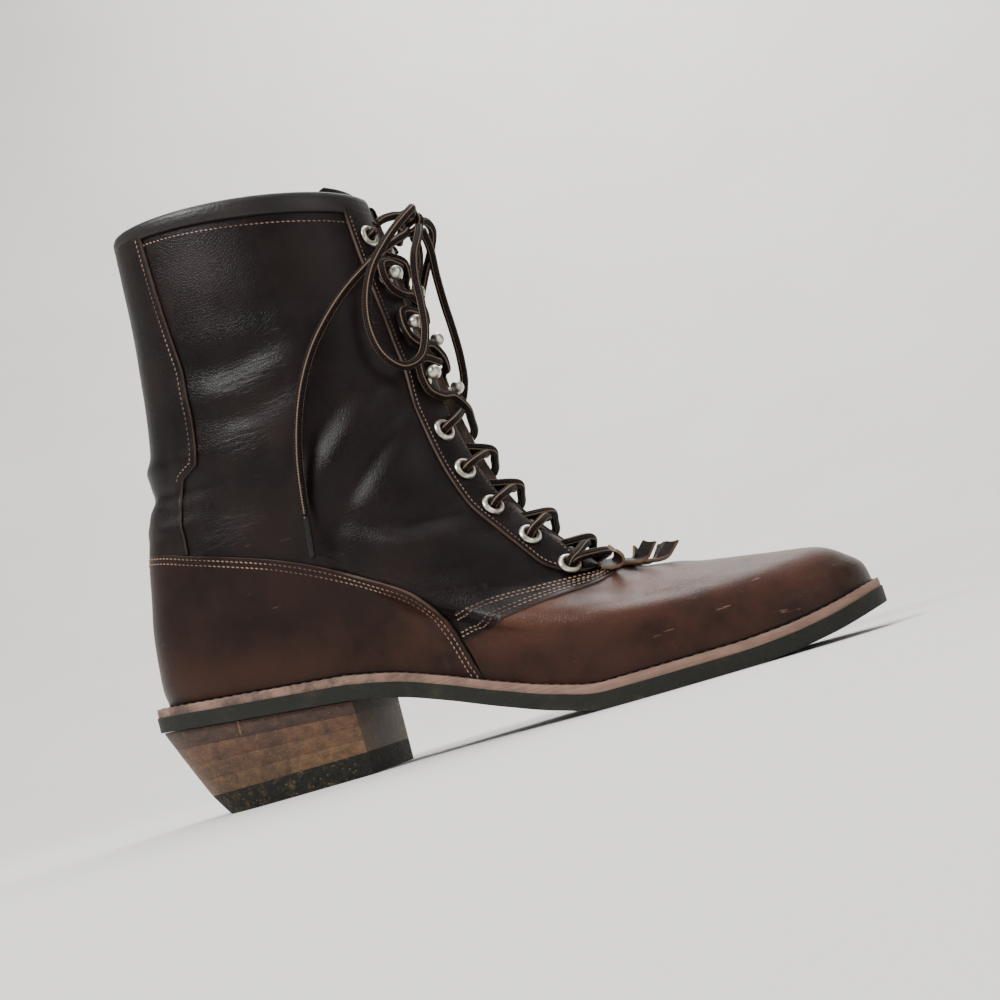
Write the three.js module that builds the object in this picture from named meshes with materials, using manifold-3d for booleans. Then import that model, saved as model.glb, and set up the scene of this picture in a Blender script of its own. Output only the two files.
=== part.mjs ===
import * as THREE from 'three';
import { mergeVertices } from 'three/addons/utils/BufferGeometryUtils.js';
import Module from 'manifold-3d';

const wasm = await Module();
wasm.setup();

// A brown leather lace-up ankle boot for the left foot: millimetres, X to the toe, Y to the outer side, Z up

// Sole
const soleLength = 300;
const heelWidth = 69;
const waistWidth = 67;
const ballWidth = 99;
const toeWidth = 72;
const toeSwing = 5;
const toeSpring = 9;
const heelHeight = 30;
const seatPitch = 10;
const outsoleThickness = 6.3;
const weltThickness = 3.2;
const weltStrip = 12.5;
const weltSetback = 0.6;
const seam = 0.3;

// Heel
const heelBreast = 92;
const heelRake = 20;
const heelTaper = 5;
const heelSetback = 1.2;
const rubberLift = 9;
const leatherLifts = 4;
const liftGap = 0.1;

// Upper
const featherInset = 4.5;
const heelReveal = 3.5;
const wall = 2.2;
const collarHeight = 244;
const collarDrop = 16;
const backLean = 28.5;
const instepHeight = 52;
const throatFromToe = 96;
const shaftDepth = 110;
const shaftWidth = 84;
const throatGap = 30;
const collarGap = 12;

// Overlays, binding, tongue, fringe and insole
const overlayThickness = 1.3;
const bindingThickness = 1.2;
const bindingHeight = 5;
const eyestayWidth = 17;
const tongueThickness = 2;
const fringeThickness = 1.4;
const fringeStrip = 7.4;
const insoleThickness = 3;
const insoleGap = 0.5;

// Lacing
const laceDiameter = 3.6;
const eyeletRadius = 4.8;
const eyeletHole = 2.4;
const eyeletTube = 0.5;
const eyeletFlange = 0.9;
const eyeletInset = 9;
const hookBall = 2.6;
const hookNeck = 1.1;
const hookReach = 5;
const agletLength = 17;
const agletDiameter = 3.2;

// Fineness of the meshes
const columns = 38;
const holeSides = 8;
const laceSides = 8;
const crossingSides = 6;
const meshTolerance = 0.03;

// Sole outline: at is a share of the length, full a share of the named width, swing a share of toeSwing
const outlineRows = [
  { at: 0.0, width: heelWidth, full: 2.1, swing: 0 },
  { at: 0.04, width: heelWidth, full: 1.88, swing: 0 },
  { at: 0.12, width: heelWidth, full: 1.5, swing: 0 },
  { at: 0.22, width: heelWidth, full: 1.21, swing: 0 },
  { at: 0.32, width: waistWidth, full: 1.086, swing: 0 },
  { at: 0.42, width: waistWidth, full: 1.018, swing: -0.1 },
  { at: 0.52, width: waistWidth, full: 1.18, swing: -0.1 },
  { at: 0.62, width: ballWidth, full: 1.0, swing: 0.1 },
  { at: 0.72, width: ballWidth, full: 1.11, swing: 0.4 },
  { at: 0.82, width: ballWidth, full: 1.145, swing: 0.45 },
  { at: 0.91, width: toeWidth, full: 1.68, swing: 0.65 },
  { at: 1.0, width: toeWidth, full: 1.83, swing: 1 },
].map((row) => ({ ...row, half: (row.full * row.width) / 2 }));

// Underside of the sole ahead of the heel: shares of heelHeight and toeSpring at shares of the length
const archRows = [
  { at: heelBreast / soleLength, heel: 1, toe: 0 },
  { at: 0.37, heel: 0.86, toe: 0 },
  { at: 0.43, heel: 0.65, toe: 0 },
  { at: 0.5, heel: 0.38, toe: 0 },
  { at: 0.573, heel: 0.137, toe: 0 },
  { at: 0.64, heel: 0, toe: 0 },
  { at: 0.8, heel: 0, toe: 0 },
  { at: 0.86, heel: 0, toe: 0.1 },
  { at: 0.92, heel: 0, toe: 0.37 },
  { at: 1.0, heel: 0, toe: 1 },
];

// Sections of the upper from the feather line to the collar. lean and up are shares of the way up the back.
// reach and rise run 0 to 1 from toe to throat and 1 to 2 from throat to collar. hug is how far a section
// keeps the sole's own curve, leg how far it is the oval of the shaft, the rest its width over the feather line
const sectionRows = [
  { at: 0, lean: 0, up: 0, reach: 0, rise: 0, hug: 1, leg: 0, heel: 1, waist: 1, ball: 1, toe: 1 },
  { at: 1, lean: -0.03, up: 0.04, reach: 0.012, rise: 0.18, hug: 1, leg: 0, heel: 1.04, waist: 1.03, ball: 1.02, toe: 1 },
  { at: 2, lean: 0, up: 0.095, reach: 0.07, rise: 0.34, hug: 1, leg: 0, heel: 1.05, waist: 1.05, ball: 1.02, toe: 0.97 },
  { at: 3, lean: 0.05, up: 0.16, reach: 0.16, rise: 0.49, hug: 1, leg: 0, heel: 1.04, waist: 1.08, ball: 1, toe: 0.93 },
  { at: 4, lean: 0.14, up: 0.225, reach: 0.39, rise: 0.605, hug: 1, leg: 0.06, heel: 1.02, waist: 1.12, ball: 0.95, toe: 0.9 },
  { at: 5, lean: 0.25, up: 0.3, reach: 0.7, rise: 0.76, hug: 0.95, leg: 0.18, heel: 1, waist: 1.15, ball: 0.87, toe: 0.84 },
  { at: 6, lean: 0.41, up: 0.375, reach: 1, rise: 1, hug: 0.8, leg: 0.34, heel: 0.96, waist: 1.18, ball: 0.81, toe: 0.79 },
  { at: 7, lean: 0.58, up: 0.46, reach: 1.27, rise: 1.09, hug: 0.6, leg: 0.52, heel: 0.96, waist: 1.2, ball: 0.78, toe: 0.75 },
  { at: 8, lean: 0.74, up: 0.555, reach: 1.56, rise: 1.215, hug: 0.4, leg: 0.7, heel: 1, waist: 1.2, ball: 0.76, toe: 0.7 },
  { at: 9, lean: 0.86, up: 0.66, reach: 1.75, rise: 1.375, hug: 0.25, leg: 0.85, heel: 1, waist: 1.2, ball: 0.76, toe: 0.7 },
  { at: 10, lean: 0.93, up: 0.78, reach: 1.87, rise: 1.6, hug: 0.12, leg: 0.95, heel: 1, waist: 1.2, ball: 0.76, toe: 0.7 },
  { at: 11, lean: 0.97, up: 0.895, reach: 1.95, rise: 1.81, hug: 0.05, leg: 1, heel: 1, waist: 1.2, ball: 0.76, toe: 0.7 },
  { at: 12, lean: 1, up: 1, reach: 2, rise: 2, hug: 0, leg: 1, heel: 1, waist: 1.2, ball: 0.76, toe: 0.7 },
];
const throatSection = 6;
const collarSection = 12;

// Lace stations on each facing, from the throat up, measured along the ridge from the throat
const laceStations = [
  { kind: 'eyelet', share: 0.035 },
  { kind: 'eyelet', share: 0.135 },
  { kind: 'eyelet', share: 0.235 },
  { kind: 'eyelet', share: 0.335 },
  { kind: 'eyelet', share: 0.435 },
  { kind: 'hook', share: 0.56 },
  { kind: 'hook', share: 0.68 },
  { kind: 'hook', share: 0.8 },
  { kind: 'eyelet', share: 0.905 },
];

// How the lacing slot narrows up the shaft, as a share of the way from throatGap to collarGap
const slotRows = [
  { at: throatSection, close: 0 },
  { at: 8, close: 0.06 },
  { at: 9, close: 0.35 },
  { at: 10, close: 0.8 },
  { at: collarSection, close: 1 },
];

// Smooth curves through table rows

const slope = (rows, column, i) => (rows[i + 1][column] - rows[i][column]) / (rows[i + 1].at - rows[i].at);

function tangent(rows, column, i) {
  if (i === 0) return slope(rows, column, 0);
  if (i === rows.length - 1) return slope(rows, column, i - 1);
  const before = slope(rows, column, i - 1);
  const after = slope(rows, column, i);
  return before * after <= 0 ? 0 : (2 * before * after) / (before + after);
}

function along(rows, column, at) {
  const last = rows.length - 1;
  if (at <= rows[0].at) return rows[0][column] + tangent(rows, column, 0) * (at - rows[0].at);
  if (at >= rows[last].at) return rows[last][column] + tangent(rows, column, last) * (at - rows[last].at);
  let i = 0;
  while (rows[i + 1].at < at) i += 1;
  const span = rows[i + 1].at - rows[i].at;
  const t = (at - rows[i].at) / span;
  const start = (1 + 2 * t) * (1 - t) ** 2 * rows[i][column] + t * (1 - t) ** 2 * span * tangent(rows, column, i);
  const end = t * t * (3 - 2 * t) * rows[i + 1][column] - t * t * (1 - t) * span * tangent(rows, column, i + 1);
  return start + end;
}

const mix = (a, b, t) => a + (b - a) * t;
const clamp = THREE.MathUtils.clamp;

// Sole outline and heights. u runs once round the shoe: back, inner side, toe at a half, outer side

function outlineEdge(u) {
  const share = (1 - Math.cos(2 * Math.PI * u)) / 2;
  const swing = -toeSwing * along(outlineRows, 'swing', share);
  return new THREE.Vector2(soleLength * share, swing - along(outlineRows, 'half', share) * Math.sin(2 * Math.PI * u));
}

function outline(u, inset) {
  const step = 0.002;
  const ahead = outlineEdge(u + step).sub(outlineEdge(u - step)).normalize();
  return outlineEdge(u).add(new THREE.Vector2(-ahead.y, ahead.x).multiplyScalar(inset));
}

function underside(x) {
  if (x < heelBreast) return heelHeight + seatPitch * (1 - x / heelBreast);
  const at = Math.min(x / soleLength, 1);
  return heelHeight * along(archRows, 'heel', at) + toeSpring * along(archRows, 'toe', at);
}

const outsoleTop = (x) => underside(x) + outsoleThickness;
const weltBottom = (x) => outsoleTop(x) + seam;
const weltTop = (x) => weltBottom(x) + weltThickness;

// Places of the mesh columns round the shoe, one of them at the heel's breast on each side
const breastTurn = Math.acos(1 - (2 * heelBreast) / soleLength) / (2 * Math.PI);
const breastColumn = Math.round(breastTurn * columns);

function turn(i) {
  if (i % columns === breastColumn) return breastTurn;
  if (i % columns === columns - breastColumn) return 1 - breastTurn;
  return i / columns;
}

// The upper's outer surface: u as on the sole, v from 0 at the feather line to collarSection at the collar

const featherSetIn = (u) => featherInset + heelReveal * Math.max(0, Math.cos(2 * Math.PI * u)) ** 4;

function feather(u) {
  const edge = outline(u, featherSetIn(u));
  return new THREE.Vector3(edge.x, edge.y, weltTop(edge.x) + seam);
}

const featherBack = feather(0);
const featherToe = feather(0.5);
const collarBack = { x: featherBack.x + backLean, z: collarHeight };
const throat = { x: soleLength - throatFromToe, z: instepHeight };
const collarFront = { x: collarBack.x + shaftDepth, z: collarHeight - collarDrop };

function twoLegs(start, middle, end, share) {
  return share < 1 ? mix(start, middle, share) : mix(middle, end, share - 1);
}

function sectionPoint(row, u) {
  const low = feather(u);
  const s = (low.x - featherBack.x) / (featherToe.x - featherBack.x);
  const backX = mix(featherBack.x, collarBack.x, row.lean);
  const backZ = mix(featherBack.z, collarBack.z, row.up);
  const frontX = twoLegs(featherToe.x, throat.x, collarFront.x, row.reach);
  const frontZ = twoLegs(featherToe.z, throat.z, collarFront.z, row.rise);
  const widths = [
    { at: 0.1, factor: row.heel },
    { at: 0.36, factor: row.waist },
    { at: 0.72, factor: row.ball },
    { at: 0.94, factor: row.toe },
  ];
  const foot = low.y * along(widths, 'factor', clamp(s, 0.1, 0.94));
  const shaft = (-shaftWidth / 2) * Math.sin(2 * Math.PI * u);
  const curve = low.z - mix(featherBack.z, featherToe.z, s);
  return { at: row.at, x: mix(backX, frontX, s), y: mix(foot, shaft, row.leg), z: mix(backZ, frontZ, s) + row.hug * curve };
}

function surface(u, v) {
  const rows = sectionRows.map((row) => sectionPoint(row, u));
  return new THREE.Vector3(along(rows, 'x', v), along(rows, 'y', v), along(rows, 'z', v));
}

function outward(u, v) {
  const step = 0.01;
  const around = surface(u + step, v).sub(surface(u - step, v));
  const up = surface(u, v + step).sub(surface(u, v));
  return around.cross(up).normalize();
}

function skin(u, v, offset) {
  const point = surface(u, v).addScaledVector(outward(u, v), offset);
  if (v === 0) point.z = weltTop(point.x) + seam;
  return point;
}

// Levels of the surface where its mesh has rows: close over the foot, wide on the shaft
const levels = [0, 1, 2, 3, 4, 4.5, 5, 5.5, 6, 6.5, 7, 7.5, 8, 8.5, 9, 10, 11];
const bindingLevel = collarSection - (bindingHeight / (collarHeight - instepHeight)) * (collarSection - throatSection);
const collarReach = (rise) => collarSection + rise / (surface(0, collarSection).z - surface(0, collarSection - 1).z);

// The front ridge, and the point on the surface at a distance across from it

const ridgeSteps = 120;
const ridge = [];
for (let i = 0, length = 0; i <= ridgeSteps; i += 1) {
  const v = mix(throatSection, collarSection, i / ridgeSteps);
  const point = surface(0.5, v);
  if (i > 0) length += point.distanceTo(ridge[i - 1].point);
  ridge.push({ at: length, v, point });
}
const ridgeLength = ridge[ridgeSteps].at;
const ridgeLevel = (share) => along(ridge, 'v', share * ridgeLength);

function besideRidge(v, across) {
  const stepU = 0.002 * Math.sign(across || 1);
  let u = 0.5;
  let walked = 0;
  let here = surface(u, v);
  while (walked < Math.abs(across)) {
    const next = surface(u + stepU, v);
    walked += next.distanceTo(here);
    here = next;
    u += stepU;
  }
  return u;
}

// Solids

function toGeometry(positions, faces) {
  const geometry = new THREE.BufferGeometry();
  geometry.setAttribute('position', new THREE.Float32BufferAttribute(positions.flatMap((p) => [p.x, p.y, p.z]), 3));
  geometry.setIndex(faces.flat());
  return mergeVertices(geometry, 1e-4);
}

function dropSlivers(geometry) {
  const index = [];
  const old = geometry.index.array;
  for (let i = 0; i < old.length; i += 3) {
    const [a, b, c] = [old[i], old[i + 1], old[i + 2]];
    if (a !== b && b !== c && a !== c) index.push(a, b, c);
  }
  geometry.setIndex(index);
  return geometry;
}

function solid(geometry) {
  const bare = new THREE.BufferGeometry();
  bare.setAttribute('position', geometry.attributes.position.clone());
  if (geometry.index) bare.setIndex(geometry.index.clone());
  const merged = dropSlivers(mergeVertices(bare, 1e-4));
  const vertProperties = new Float32Array(merged.attributes.position.array);
  const triVerts = new Uint32Array(merged.index.array);
  return new wasm.Manifold(new wasm.Mesh({ numProp: 3, vertProperties, triVerts }));
}

// The main body of a cut or a join as a geometry, without slivers of rounding
function geometryOf(manifold) {
  const [main] = manifold.decompose().sort((a, b) => b.volume() - a.volume());
  const mesh = main.simplify(meshTolerance).getMesh();
  const geometry = new THREE.BufferGeometry();
  geometry.setAttribute('position', new THREE.BufferAttribute(new Float32Array(mesh.vertProperties), 3));
  geometry.setIndex([...mesh.triVerts]);
  return geometry;
}

// A closed wall between two offsets of a grid of places; wrap joins its last column to its first
function shell(place, across, up, low, high, wrap) {
  const positions = [];
  for (const offset of [high, low]) {
    for (let j = 0; j <= up; j += 1) {
      for (let i = 0; i <= across; i += 1) positions.push(place(wrap ? i % across : i, j, offset));
    }
  }
  const width = across + 1;
  const layer = width * (up + 1);
  const id = (side, i, j) => side * layer + j * width + i;
  const faces = [];
  const quad = (a, b, c, d) => faces.push([a, b, c], [a, c, d]);
  for (let j = 0; j < up; j += 1) {
    for (let i = 0; i < across; i += 1) {
      quad(id(0, i, j), id(0, i + 1, j), id(0, i + 1, j + 1), id(0, i, j + 1));
      quad(id(1, i, j), id(1, i, j + 1), id(1, i + 1, j + 1), id(1, i + 1, j));
    }
  }
  for (let i = 0; i < across; i += 1) {
    quad(id(0, i, 0), id(1, i, 0), id(1, i + 1, 0), id(0, i + 1, 0));
    quad(id(0, i, up), id(0, i + 1, up), id(1, i + 1, up), id(1, i, up));
  }
  for (let j = 0; j < up && !wrap; j += 1) {
    quad(id(0, 0, j), id(0, 0, j + 1), id(1, 0, j + 1), id(1, 0, j));
    quad(id(0, across, j), id(1, across, j), id(1, across, j + 1), id(0, across, j + 1));
  }
  return dropSlivers(toGeometry(positions, faces));
}

// The whole upper's surface made thick between two offsets, over a list of levels
function upperShell(rows, low, high) {
  const place = (i, j, offset) => skin(turn(i), rows[j], offset);
  return solid(shell(place, columns, rows.length - 1, low, high, true));
}

// A strip of the upper's columns on both sides of the front ridge
function frontShell(rows, reach, low, high) {
  const place = (i, j, offset) => skin(turn(columns / 2 + i - reach), rows[j], offset);
  return solid(shell(place, 2 * reach, rows.length - 1, low, high, false));
}

// A closed solid lofted through loops of equal length, its ends closed to their middles
function loft(loops) {
  const count = loops[0].length;
  const positions = loops.flat();
  const faces = [];
  for (let k = 0; k + 1 < loops.length; k += 1) {
    for (let i = 0; i < count; i += 1) {
      const next = (i + 1) % count;
      faces.push([k * count + i, k * count + next, (k + 1) * count + next]);
      faces.push([k * count + i, (k + 1) * count + next, (k + 1) * count + i]);
    }
  }
  for (const [k, flip] of [[0, true], [loops.length - 1, false]]) {
    const middle = loops[k].reduce((sum, p) => sum.add(p), new THREE.Vector3()).divideScalar(count);
    const centre = positions.push(middle) - 1;
    for (let i = 0; i < count; i += 1) {
      const next = (i + 1) % count;
      faces.push(flip ? [centre, k * count + next, k * count + i] : [centre, k * count + i, k * count + next]);
    }
  }
  return dropSlivers(toGeometry(positions, faces));
}

// A prism along Y from an outline given as points [x, z]
function prism(points, fromY, toY) {
  const shape = new THREE.Shape(points.map(([x, z]) => new THREE.Vector2(x, z)));
  const geometry = new THREE.ExtrudeGeometry(shape, { depth: toY - fromY, bevelEnabled: false });
  geometry.rotateX(Math.PI / 2);
  geometry.translate(0, toY, 0);
  return solid(geometry);
}

// A round tube along a smooth route
function tube(points, diameter, steps, sides) {
  const circle = new THREE.Shape();
  for (let i = 0; i < sides; i += 1) {
    const angle = (2 * Math.PI * i) / sides;
    const [x, y] = [(Math.cos(angle) * diameter) / 2, (Math.sin(angle) * diameter) / 2];
    if (i === 0) circle.moveTo(x, y);
    else circle.lineTo(x, y);
  }
  circle.closePath();
  const extrudePath = new THREE.CatmullRomCurve3(points, false, 'centripetal');
  return new THREE.ExtrudeGeometry(circle, { steps, extrudePath, bevelEnabled: false });
}

// Turns a solid of revolution about Y so that it stands at a point along a direction
function stand(geometry, point, direction) {
  const turn = new THREE.Quaternion().setFromUnitVectors(new THREE.Vector3(0, 1, 0), direction);
  return geometry.clone().applyQuaternion(turn).translate(point.x, point.y, point.z);
}

const lathe = (profile, sides) => new THREE.LatheGeometry(profile.map(([r, h]) => new THREE.Vector2(r, h)), sides);

// Group and finishes

const boot = new THREE.Group();
const finish = (color, roughness, metalness = 0) => new THREE.MeshStandardMaterial({ color, roughness, metalness });
const finishes = {
  shaftLeather: finish(0x2b1a18, 0.5),
  footLeather: finish(0x4a2419, 0.42),
  binding: finish(0x17100f, 0.45),
  lining: finish(0x3a2c26, 0.85),
  rubber: finish(0x1b1d1b, 0.8),
  welt: finish(0xa8806b, 0.75),
  stackedLeather: finish(0x7d5636, 0.7),
  topLift: finish(0x2b2a25, 0.85),
  nickel: finish(0xc9c6bd, 0.35, 1),
  lace: finish(0x1b1312, 0.8),
  aglet: finish(0x0d0b0b, 0.3),
  fringe: finish(0x3c2119, 0.6),
};

function add(name, geometry, material) {
  const mesh = new THREE.Mesh(geometry, material);
  mesh.name = name;
  boot.add(mesh);
  return mesh;
}

// Outsole, insole and welt

function plate(inset, bottom, top) {
  const half = columns / 2;
  const rows = 2;
  const place = (i, j, offset) => {
    const inner = outline(turn(i), inset(turn(i)));
    const outer = outline(1 - turn(i), inset(1 - turn(i)));
    const x = mix(inner.x, outer.x, j / rows);
    return new THREE.Vector3(x, mix(inner.y, outer.y, j / rows), offset(x));
  };
  return shell(place, half, rows, bottom, top, false);
}

function weltRing() {
  const place = (i, j, offset) => {
    const edge = outline(turn(i), weltSetback + (j ? weltStrip : 0));
    return new THREE.Vector3(edge.x, edge.y, offset(edge.x));
  };
  return shell(place, columns, 1, weltBottom, weltTop, true);
}

add('outsole', plate(() => 0, underside, outsoleTop), finishes.rubber);
add('welt', weltRing(), finishes.welt);

const fillInset = () => weltSetback + weltStrip + insoleGap;
const boardInset = (u) => featherSetIn(u) + wall + insoleGap;
const insoleBottom = (x) => weltTop(x) + seam;
const insoleOverlap = 0.2;
const insoleFill = plate(fillInset, weltBottom, (x) => insoleBottom(x) + insoleOverlap);
const insoleBoard = plate(boardInset, insoleBottom, (x) => insoleBottom(x) + insoleThickness);
add('insole', geometryOf(solid(insoleFill).add(solid(insoleBoard))), finishes.lining);

// Heel: leather lifts under the outsole, and a rubber top lift on the floor

function heelLoop(height, share) {
  const rearMost = outline(0, heelSetback).x;
  const length = heelBreast - rearMost;
  const shrink = mix((length - heelRake) / length, 1, share);
  const narrow = mix((heelWidth - heelTaper) / heelWidth, 1, share);
  const loop = [];
  const steps = 18;
  for (let i = 0; i <= steps; i += 1) {
    const edge = outline(mix(-breastTurn, breastTurn, i / steps), heelSetback);
    const x = heelBreast - Math.max(heelBreast - edge.x, 0) * shrink;
    loop.push(new THREE.Vector3(x, edge.y * narrow, height(x)));
  }
  return loop;
}

const heelTop = (x) => underside(x) - seam;
const liftLevel = (share) => (x) => mix(rubberLift, heelTop(x), share);
const heelShare = (level) => level / heelHeight;
add('heel_top_lift', loft([heelLoop(() => 0, 0), heelLoop(() => rubberLift - liftGap, heelShare(rubberLift))]), finishes.topLift);
for (let i = 0; i < leatherLifts; i += 1) {
  const low = i / leatherLifts;
  const high = (i + 1) / leatherLifts;
  const shareAt = (part) => mix(heelShare(rubberLift), 1, part);
  const ceiling = (x) => liftLevel(high)(x) - (i + 1 < leatherLifts ? liftGap : 0);
  add(`heel_lift_${i + 1}`, loft([heelLoop(liftLevel(low), shareAt(low)), heelLoop(ceiling, shareAt(high))]), finishes.stackedLeather);
}

// Upper: one hollow wall with the lacing slot and the eyelet holes cut out of it

const throatEnd = throatSection + 0.02;
const slotLevels = levels.filter((v) => v > throatEnd);
const slotReach = { out: 16, in: -12 };
const slotHalf = (v) => mix(throatGap, collarGap, along(slotRows, 'close', Math.min(v, collarSection))) / 2;

const slotLoops = [throatEnd, ...slotLevels, collarSection, collarReach(20)].map((v) => {
  const half = slotHalf(v);
  const [near, deep] = [skin(0.5, v, slotReach.out), skin(0.5, v, slotReach.in)];
  return [[near, -half], [near, half], [deep, half], [deep, -half]].map(([p, y]) => new THREE.Vector3(p.x, y, p.z));
});
const slot = solid(loft(slotLoops));

const stations = laceStations.map(({ kind, share }) => {
  const v = ridgeLevel(share);
  const across = slotHalf(v) + eyeletInset;
  return { kind, v, inner: besideRidge(v, -across), outer: besideRidge(v, across) };
});
const sides = ['inner', 'outer'];

function holeThrough(u, v, radius) {
  const depth = 12;
  const pin = new THREE.CylinderGeometry(radius, radius, depth, holeSides);
  return solid(stand(pin, surface(u, v), outward(u, v)));
}

const upperLevels = [...levels, collarSection];
let upper = upperShell(upperLevels, -wall, 0).subtract(slot);
for (const { kind, v, ...at } of stations) {
  if (kind !== 'eyelet') continue;
  for (const side of sides) upper = upper.subtract(holeThrough(at[side], v, eyeletHole + eyeletTube + seam));
}
add('upper', geometryOf(upper), finishes.shaftLeather);

// Overlays cut out of one larger form that lies 0.3 mm over the upper

const overlayLevels = [...levels.filter((v) => v < bindingLevel), bindingLevel - 0.02];
const overlay = upperShell(overlayLevels, seam, seam + overlayThickness);
const far = ballWidth;

// Edges seen from the side, as shares of the length and of the collar height
const edgePoint = ([x, z]) => [x * soleLength, z * collarHeight];
const counterTop = [
  [-0.02, 0.475], [0.05, 0.46], [0.093, 0.447], [0.143, 0.426], [0.2, 0.402], [0.263, 0.373],
  [0.313, 0.344], [0.377, 0.299], [0.427, 0.258], [0.45, 0.225], [0.467, 0.18],
];
const counterFront = [[0.477, 0.135], [0.483, 0.1], [0.485, 0.02]];
const counterShape = [...counterTop, ...counterFront, [-0.02, 0.02]].map(edgePoint);
add('counter', geometryOf(overlay.intersect(prism(counterShape, -far, far))), finishes.footLeather);

const joint = 0.4;
const shiftedBy = (points, x, z) => points.map((p) => [p[0] + x, p[1] + z]);
const vampRear = shiftedBy([...counterFront].reverse().concat([[0.472, 0.165]]).map(edgePoint), joint, 0);
const vampTop = [[0.5, 0.172], [0.527, 0.178], [0.57, 0.182], [0.62, 0.186], [0.657, 0.189], [0.683, 0.2], [0.688, 0.4]];
const vampFront = [[1.02, 0.4], [1.02, 0.02]];
const vampShape = [...vampRear, ...[...vampTop, ...vampFront].map(edgePoint)];
add('vamp', geometryOf(overlay.intersect(prism(vampShape, -far, far)).subtract(slot)), finishes.footLeather);

const backstayFront = [
  [0.112, 0.442], [0.133, 0.496], [0.143, 0.529], [0.157, 0.553], [0.187, 0.566], [0.193, 0.586], [0.2, 0.65],
  [0.203, 0.73], [0.2, 0.79], [0.194, 0.95], [0.194, 1.05],
];
const backstayShape = shiftedBy([[-0.02, 0.475], [0.05, 0.46], ...backstayFront, [-0.02, 1.05]].map(edgePoint), 0, joint);
add('backstay', geometryOf(overlay.intersect(prism(backstayShape, -far, far))), finishes.shaftLeather);

const stayLevels = [...slotLevels.filter((v) => v >= throatSection + 1), collarReach(20)];
const stayEdge = stayLevels.map((v) => surface(besideRidge(v, -(slotHalf(v) + eyestayWidth)), v)).map((p) => [p.x, p.z]);
const stayFoot = [[0.61, 0.24], [0.655, 0.19], [0.69, 0.19]].map(edgePoint);
const stayFront = [[throat.x + 60, instepHeight + 60], [collarFront.x + 40, collarHeight + 30]];
const stayShape = [...stayFoot, ...stayFront, ...[...stayEdge].reverse()];
const vampClear = prism(shiftedBy(vampShape, -joint, joint), -far, far);
const stays = overlay.intersect(prism(stayShape, -far, far)).subtract(vampClear).subtract(slot);
const outerHalf = prism([[-far, -far], [2 * soleLength, -far], [2 * soleLength, 2 * collarHeight], [-far, 2 * collarHeight]], 0, far);
const stayHalves = [['medial', 'inner', stays.subtract(outerHalf)], ['lateral', 'outer', stays.intersect(outerHalf)]];
for (const [name, side, half] of stayHalves) {
  let stay = half;
  for (const { kind, v, ...at } of stations) {
    if (kind === 'eyelet') stay = stay.subtract(holeThrough(at[side], v, eyeletHole + eyeletTube + seam));
  }
  add(`eyestay_${name}`, geometryOf(stay), finishes.shaftLeather);
}

// Binding rolled over the collar
const bindingRows = [bindingLevel, collarReach(seam + bindingThickness)];
const bindingOver = upperShell(bindingRows, -wall - seam - bindingThickness, seam + bindingThickness);
const bindingCore = upperShell([bindingLevel - 0.1, collarReach(seam)], -wall - seam, seam);
add('collar_binding', geometryOf(bindingOver.subtract(bindingCore).subtract(slot)), finishes.binding);

// Tongue under the facings and the binding, standing a little over the collar
const tongueTop = -(wall + bindingThickness + 2 * seam);
const tongueColumns = 5;
const tongueLevels = [throatSection - 0.25, throatSection, ...slotLevels, collarSection, collarReach(4)];
add('tongue', geometryOf(frontShell(tongueLevels, tongueColumns, tongueTop - tongueThickness, tongueTop)), finishes.footLeather);

// Kiltie: a neck on the tongue in the lacing slot, an apron over the vamp and strips that curl up from it
const neckLow = tongueTop + 2 * seam;
const apronLow = seam + overlayThickness + seam;
const neckTop = 8;
const neckHalf = slotHalf(neckTop) - 0.8;
const neckBand = prism([[0, 0], [soleLength, 0], [soleLength, collarHeight], [0, collarHeight]], -neckHalf, neckHalf);
const neckColumns = 3;
const apronColumns = 4;
const neckLevels = [6.05, 6.5, 7, 7.5, neckTop];
const neck = frontShell(neckLevels, neckColumns, neckLow, neckLow + fringeThickness);
const riser = frontShell([6.05, 6.16], neckColumns, neckLow, apronLow + fringeThickness);
const apronLevels = [5.5, 6, 6.16];
const apronSheet = frontShell(apronLevels, apronColumns, apronLow, apronLow + fringeThickness);
const behindThroat = [[0, 0], [throat.x, 0], [throat.x, collarHeight], [0, collarHeight]];
const apron = apronSheet.subtract(prism(behindThroat, neckHalf, far)).subtract(prism(behindThroat, -far, -neckHalf));
const stripCount = 5;
const stripPitch = fringeStrip + 1;
const stripRoot = 5.6;
const stripSpan = 0.45;
const stripRise = 0.3;
const curlStart = 6;
const curlRadius = 5.5;
const curlTurn = THREE.MathUtils.degToRad(110);
const curlSteps = 4;

function fringeStripSolid(index) {
  const u = besideRidge(stripRoot, (index - (stripCount - 1) / 2) * stripPitch);
  const root = skin(u, stripRoot, apronLow + fringeThickness / 2 + stripRise);
  const ahead = surface(u, stripRoot - stripSpan).sub(surface(u, stripRoot)).normalize();
  const across = new THREE.Vector3().crossVectors(ahead, outward(u, stripRoot)).normalize();
  const normal = new THREE.Vector3().crossVectors(across, ahead);
  const section = (length, angle) => {
    const bend = curlRadius * Math.sin(angle);
    const lift = curlRadius * (1 - Math.cos(angle));
    const middle = root.clone().addScaledVector(ahead, length + bend).addScaledVector(normal, lift);
    const thick = normal.clone().multiplyScalar(Math.cos(angle)).addScaledVector(ahead, -Math.sin(angle));
    const half = fringeThickness / 2;
    return [[-1, -1], [1, -1], [1, 1], [-1, 1]].map(([a, b]) => (
      middle.clone().addScaledVector(across, (a * fringeStrip) / 2).addScaledVector(thick, b * half)
    ));
  };
  const loops = [section(-1, 0)];
  for (let i = 0; i <= curlSteps; i += 1) loops.push(section(curlStart, (curlTurn * i) / curlSteps));
  return solid(loft(loops));
}

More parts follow.
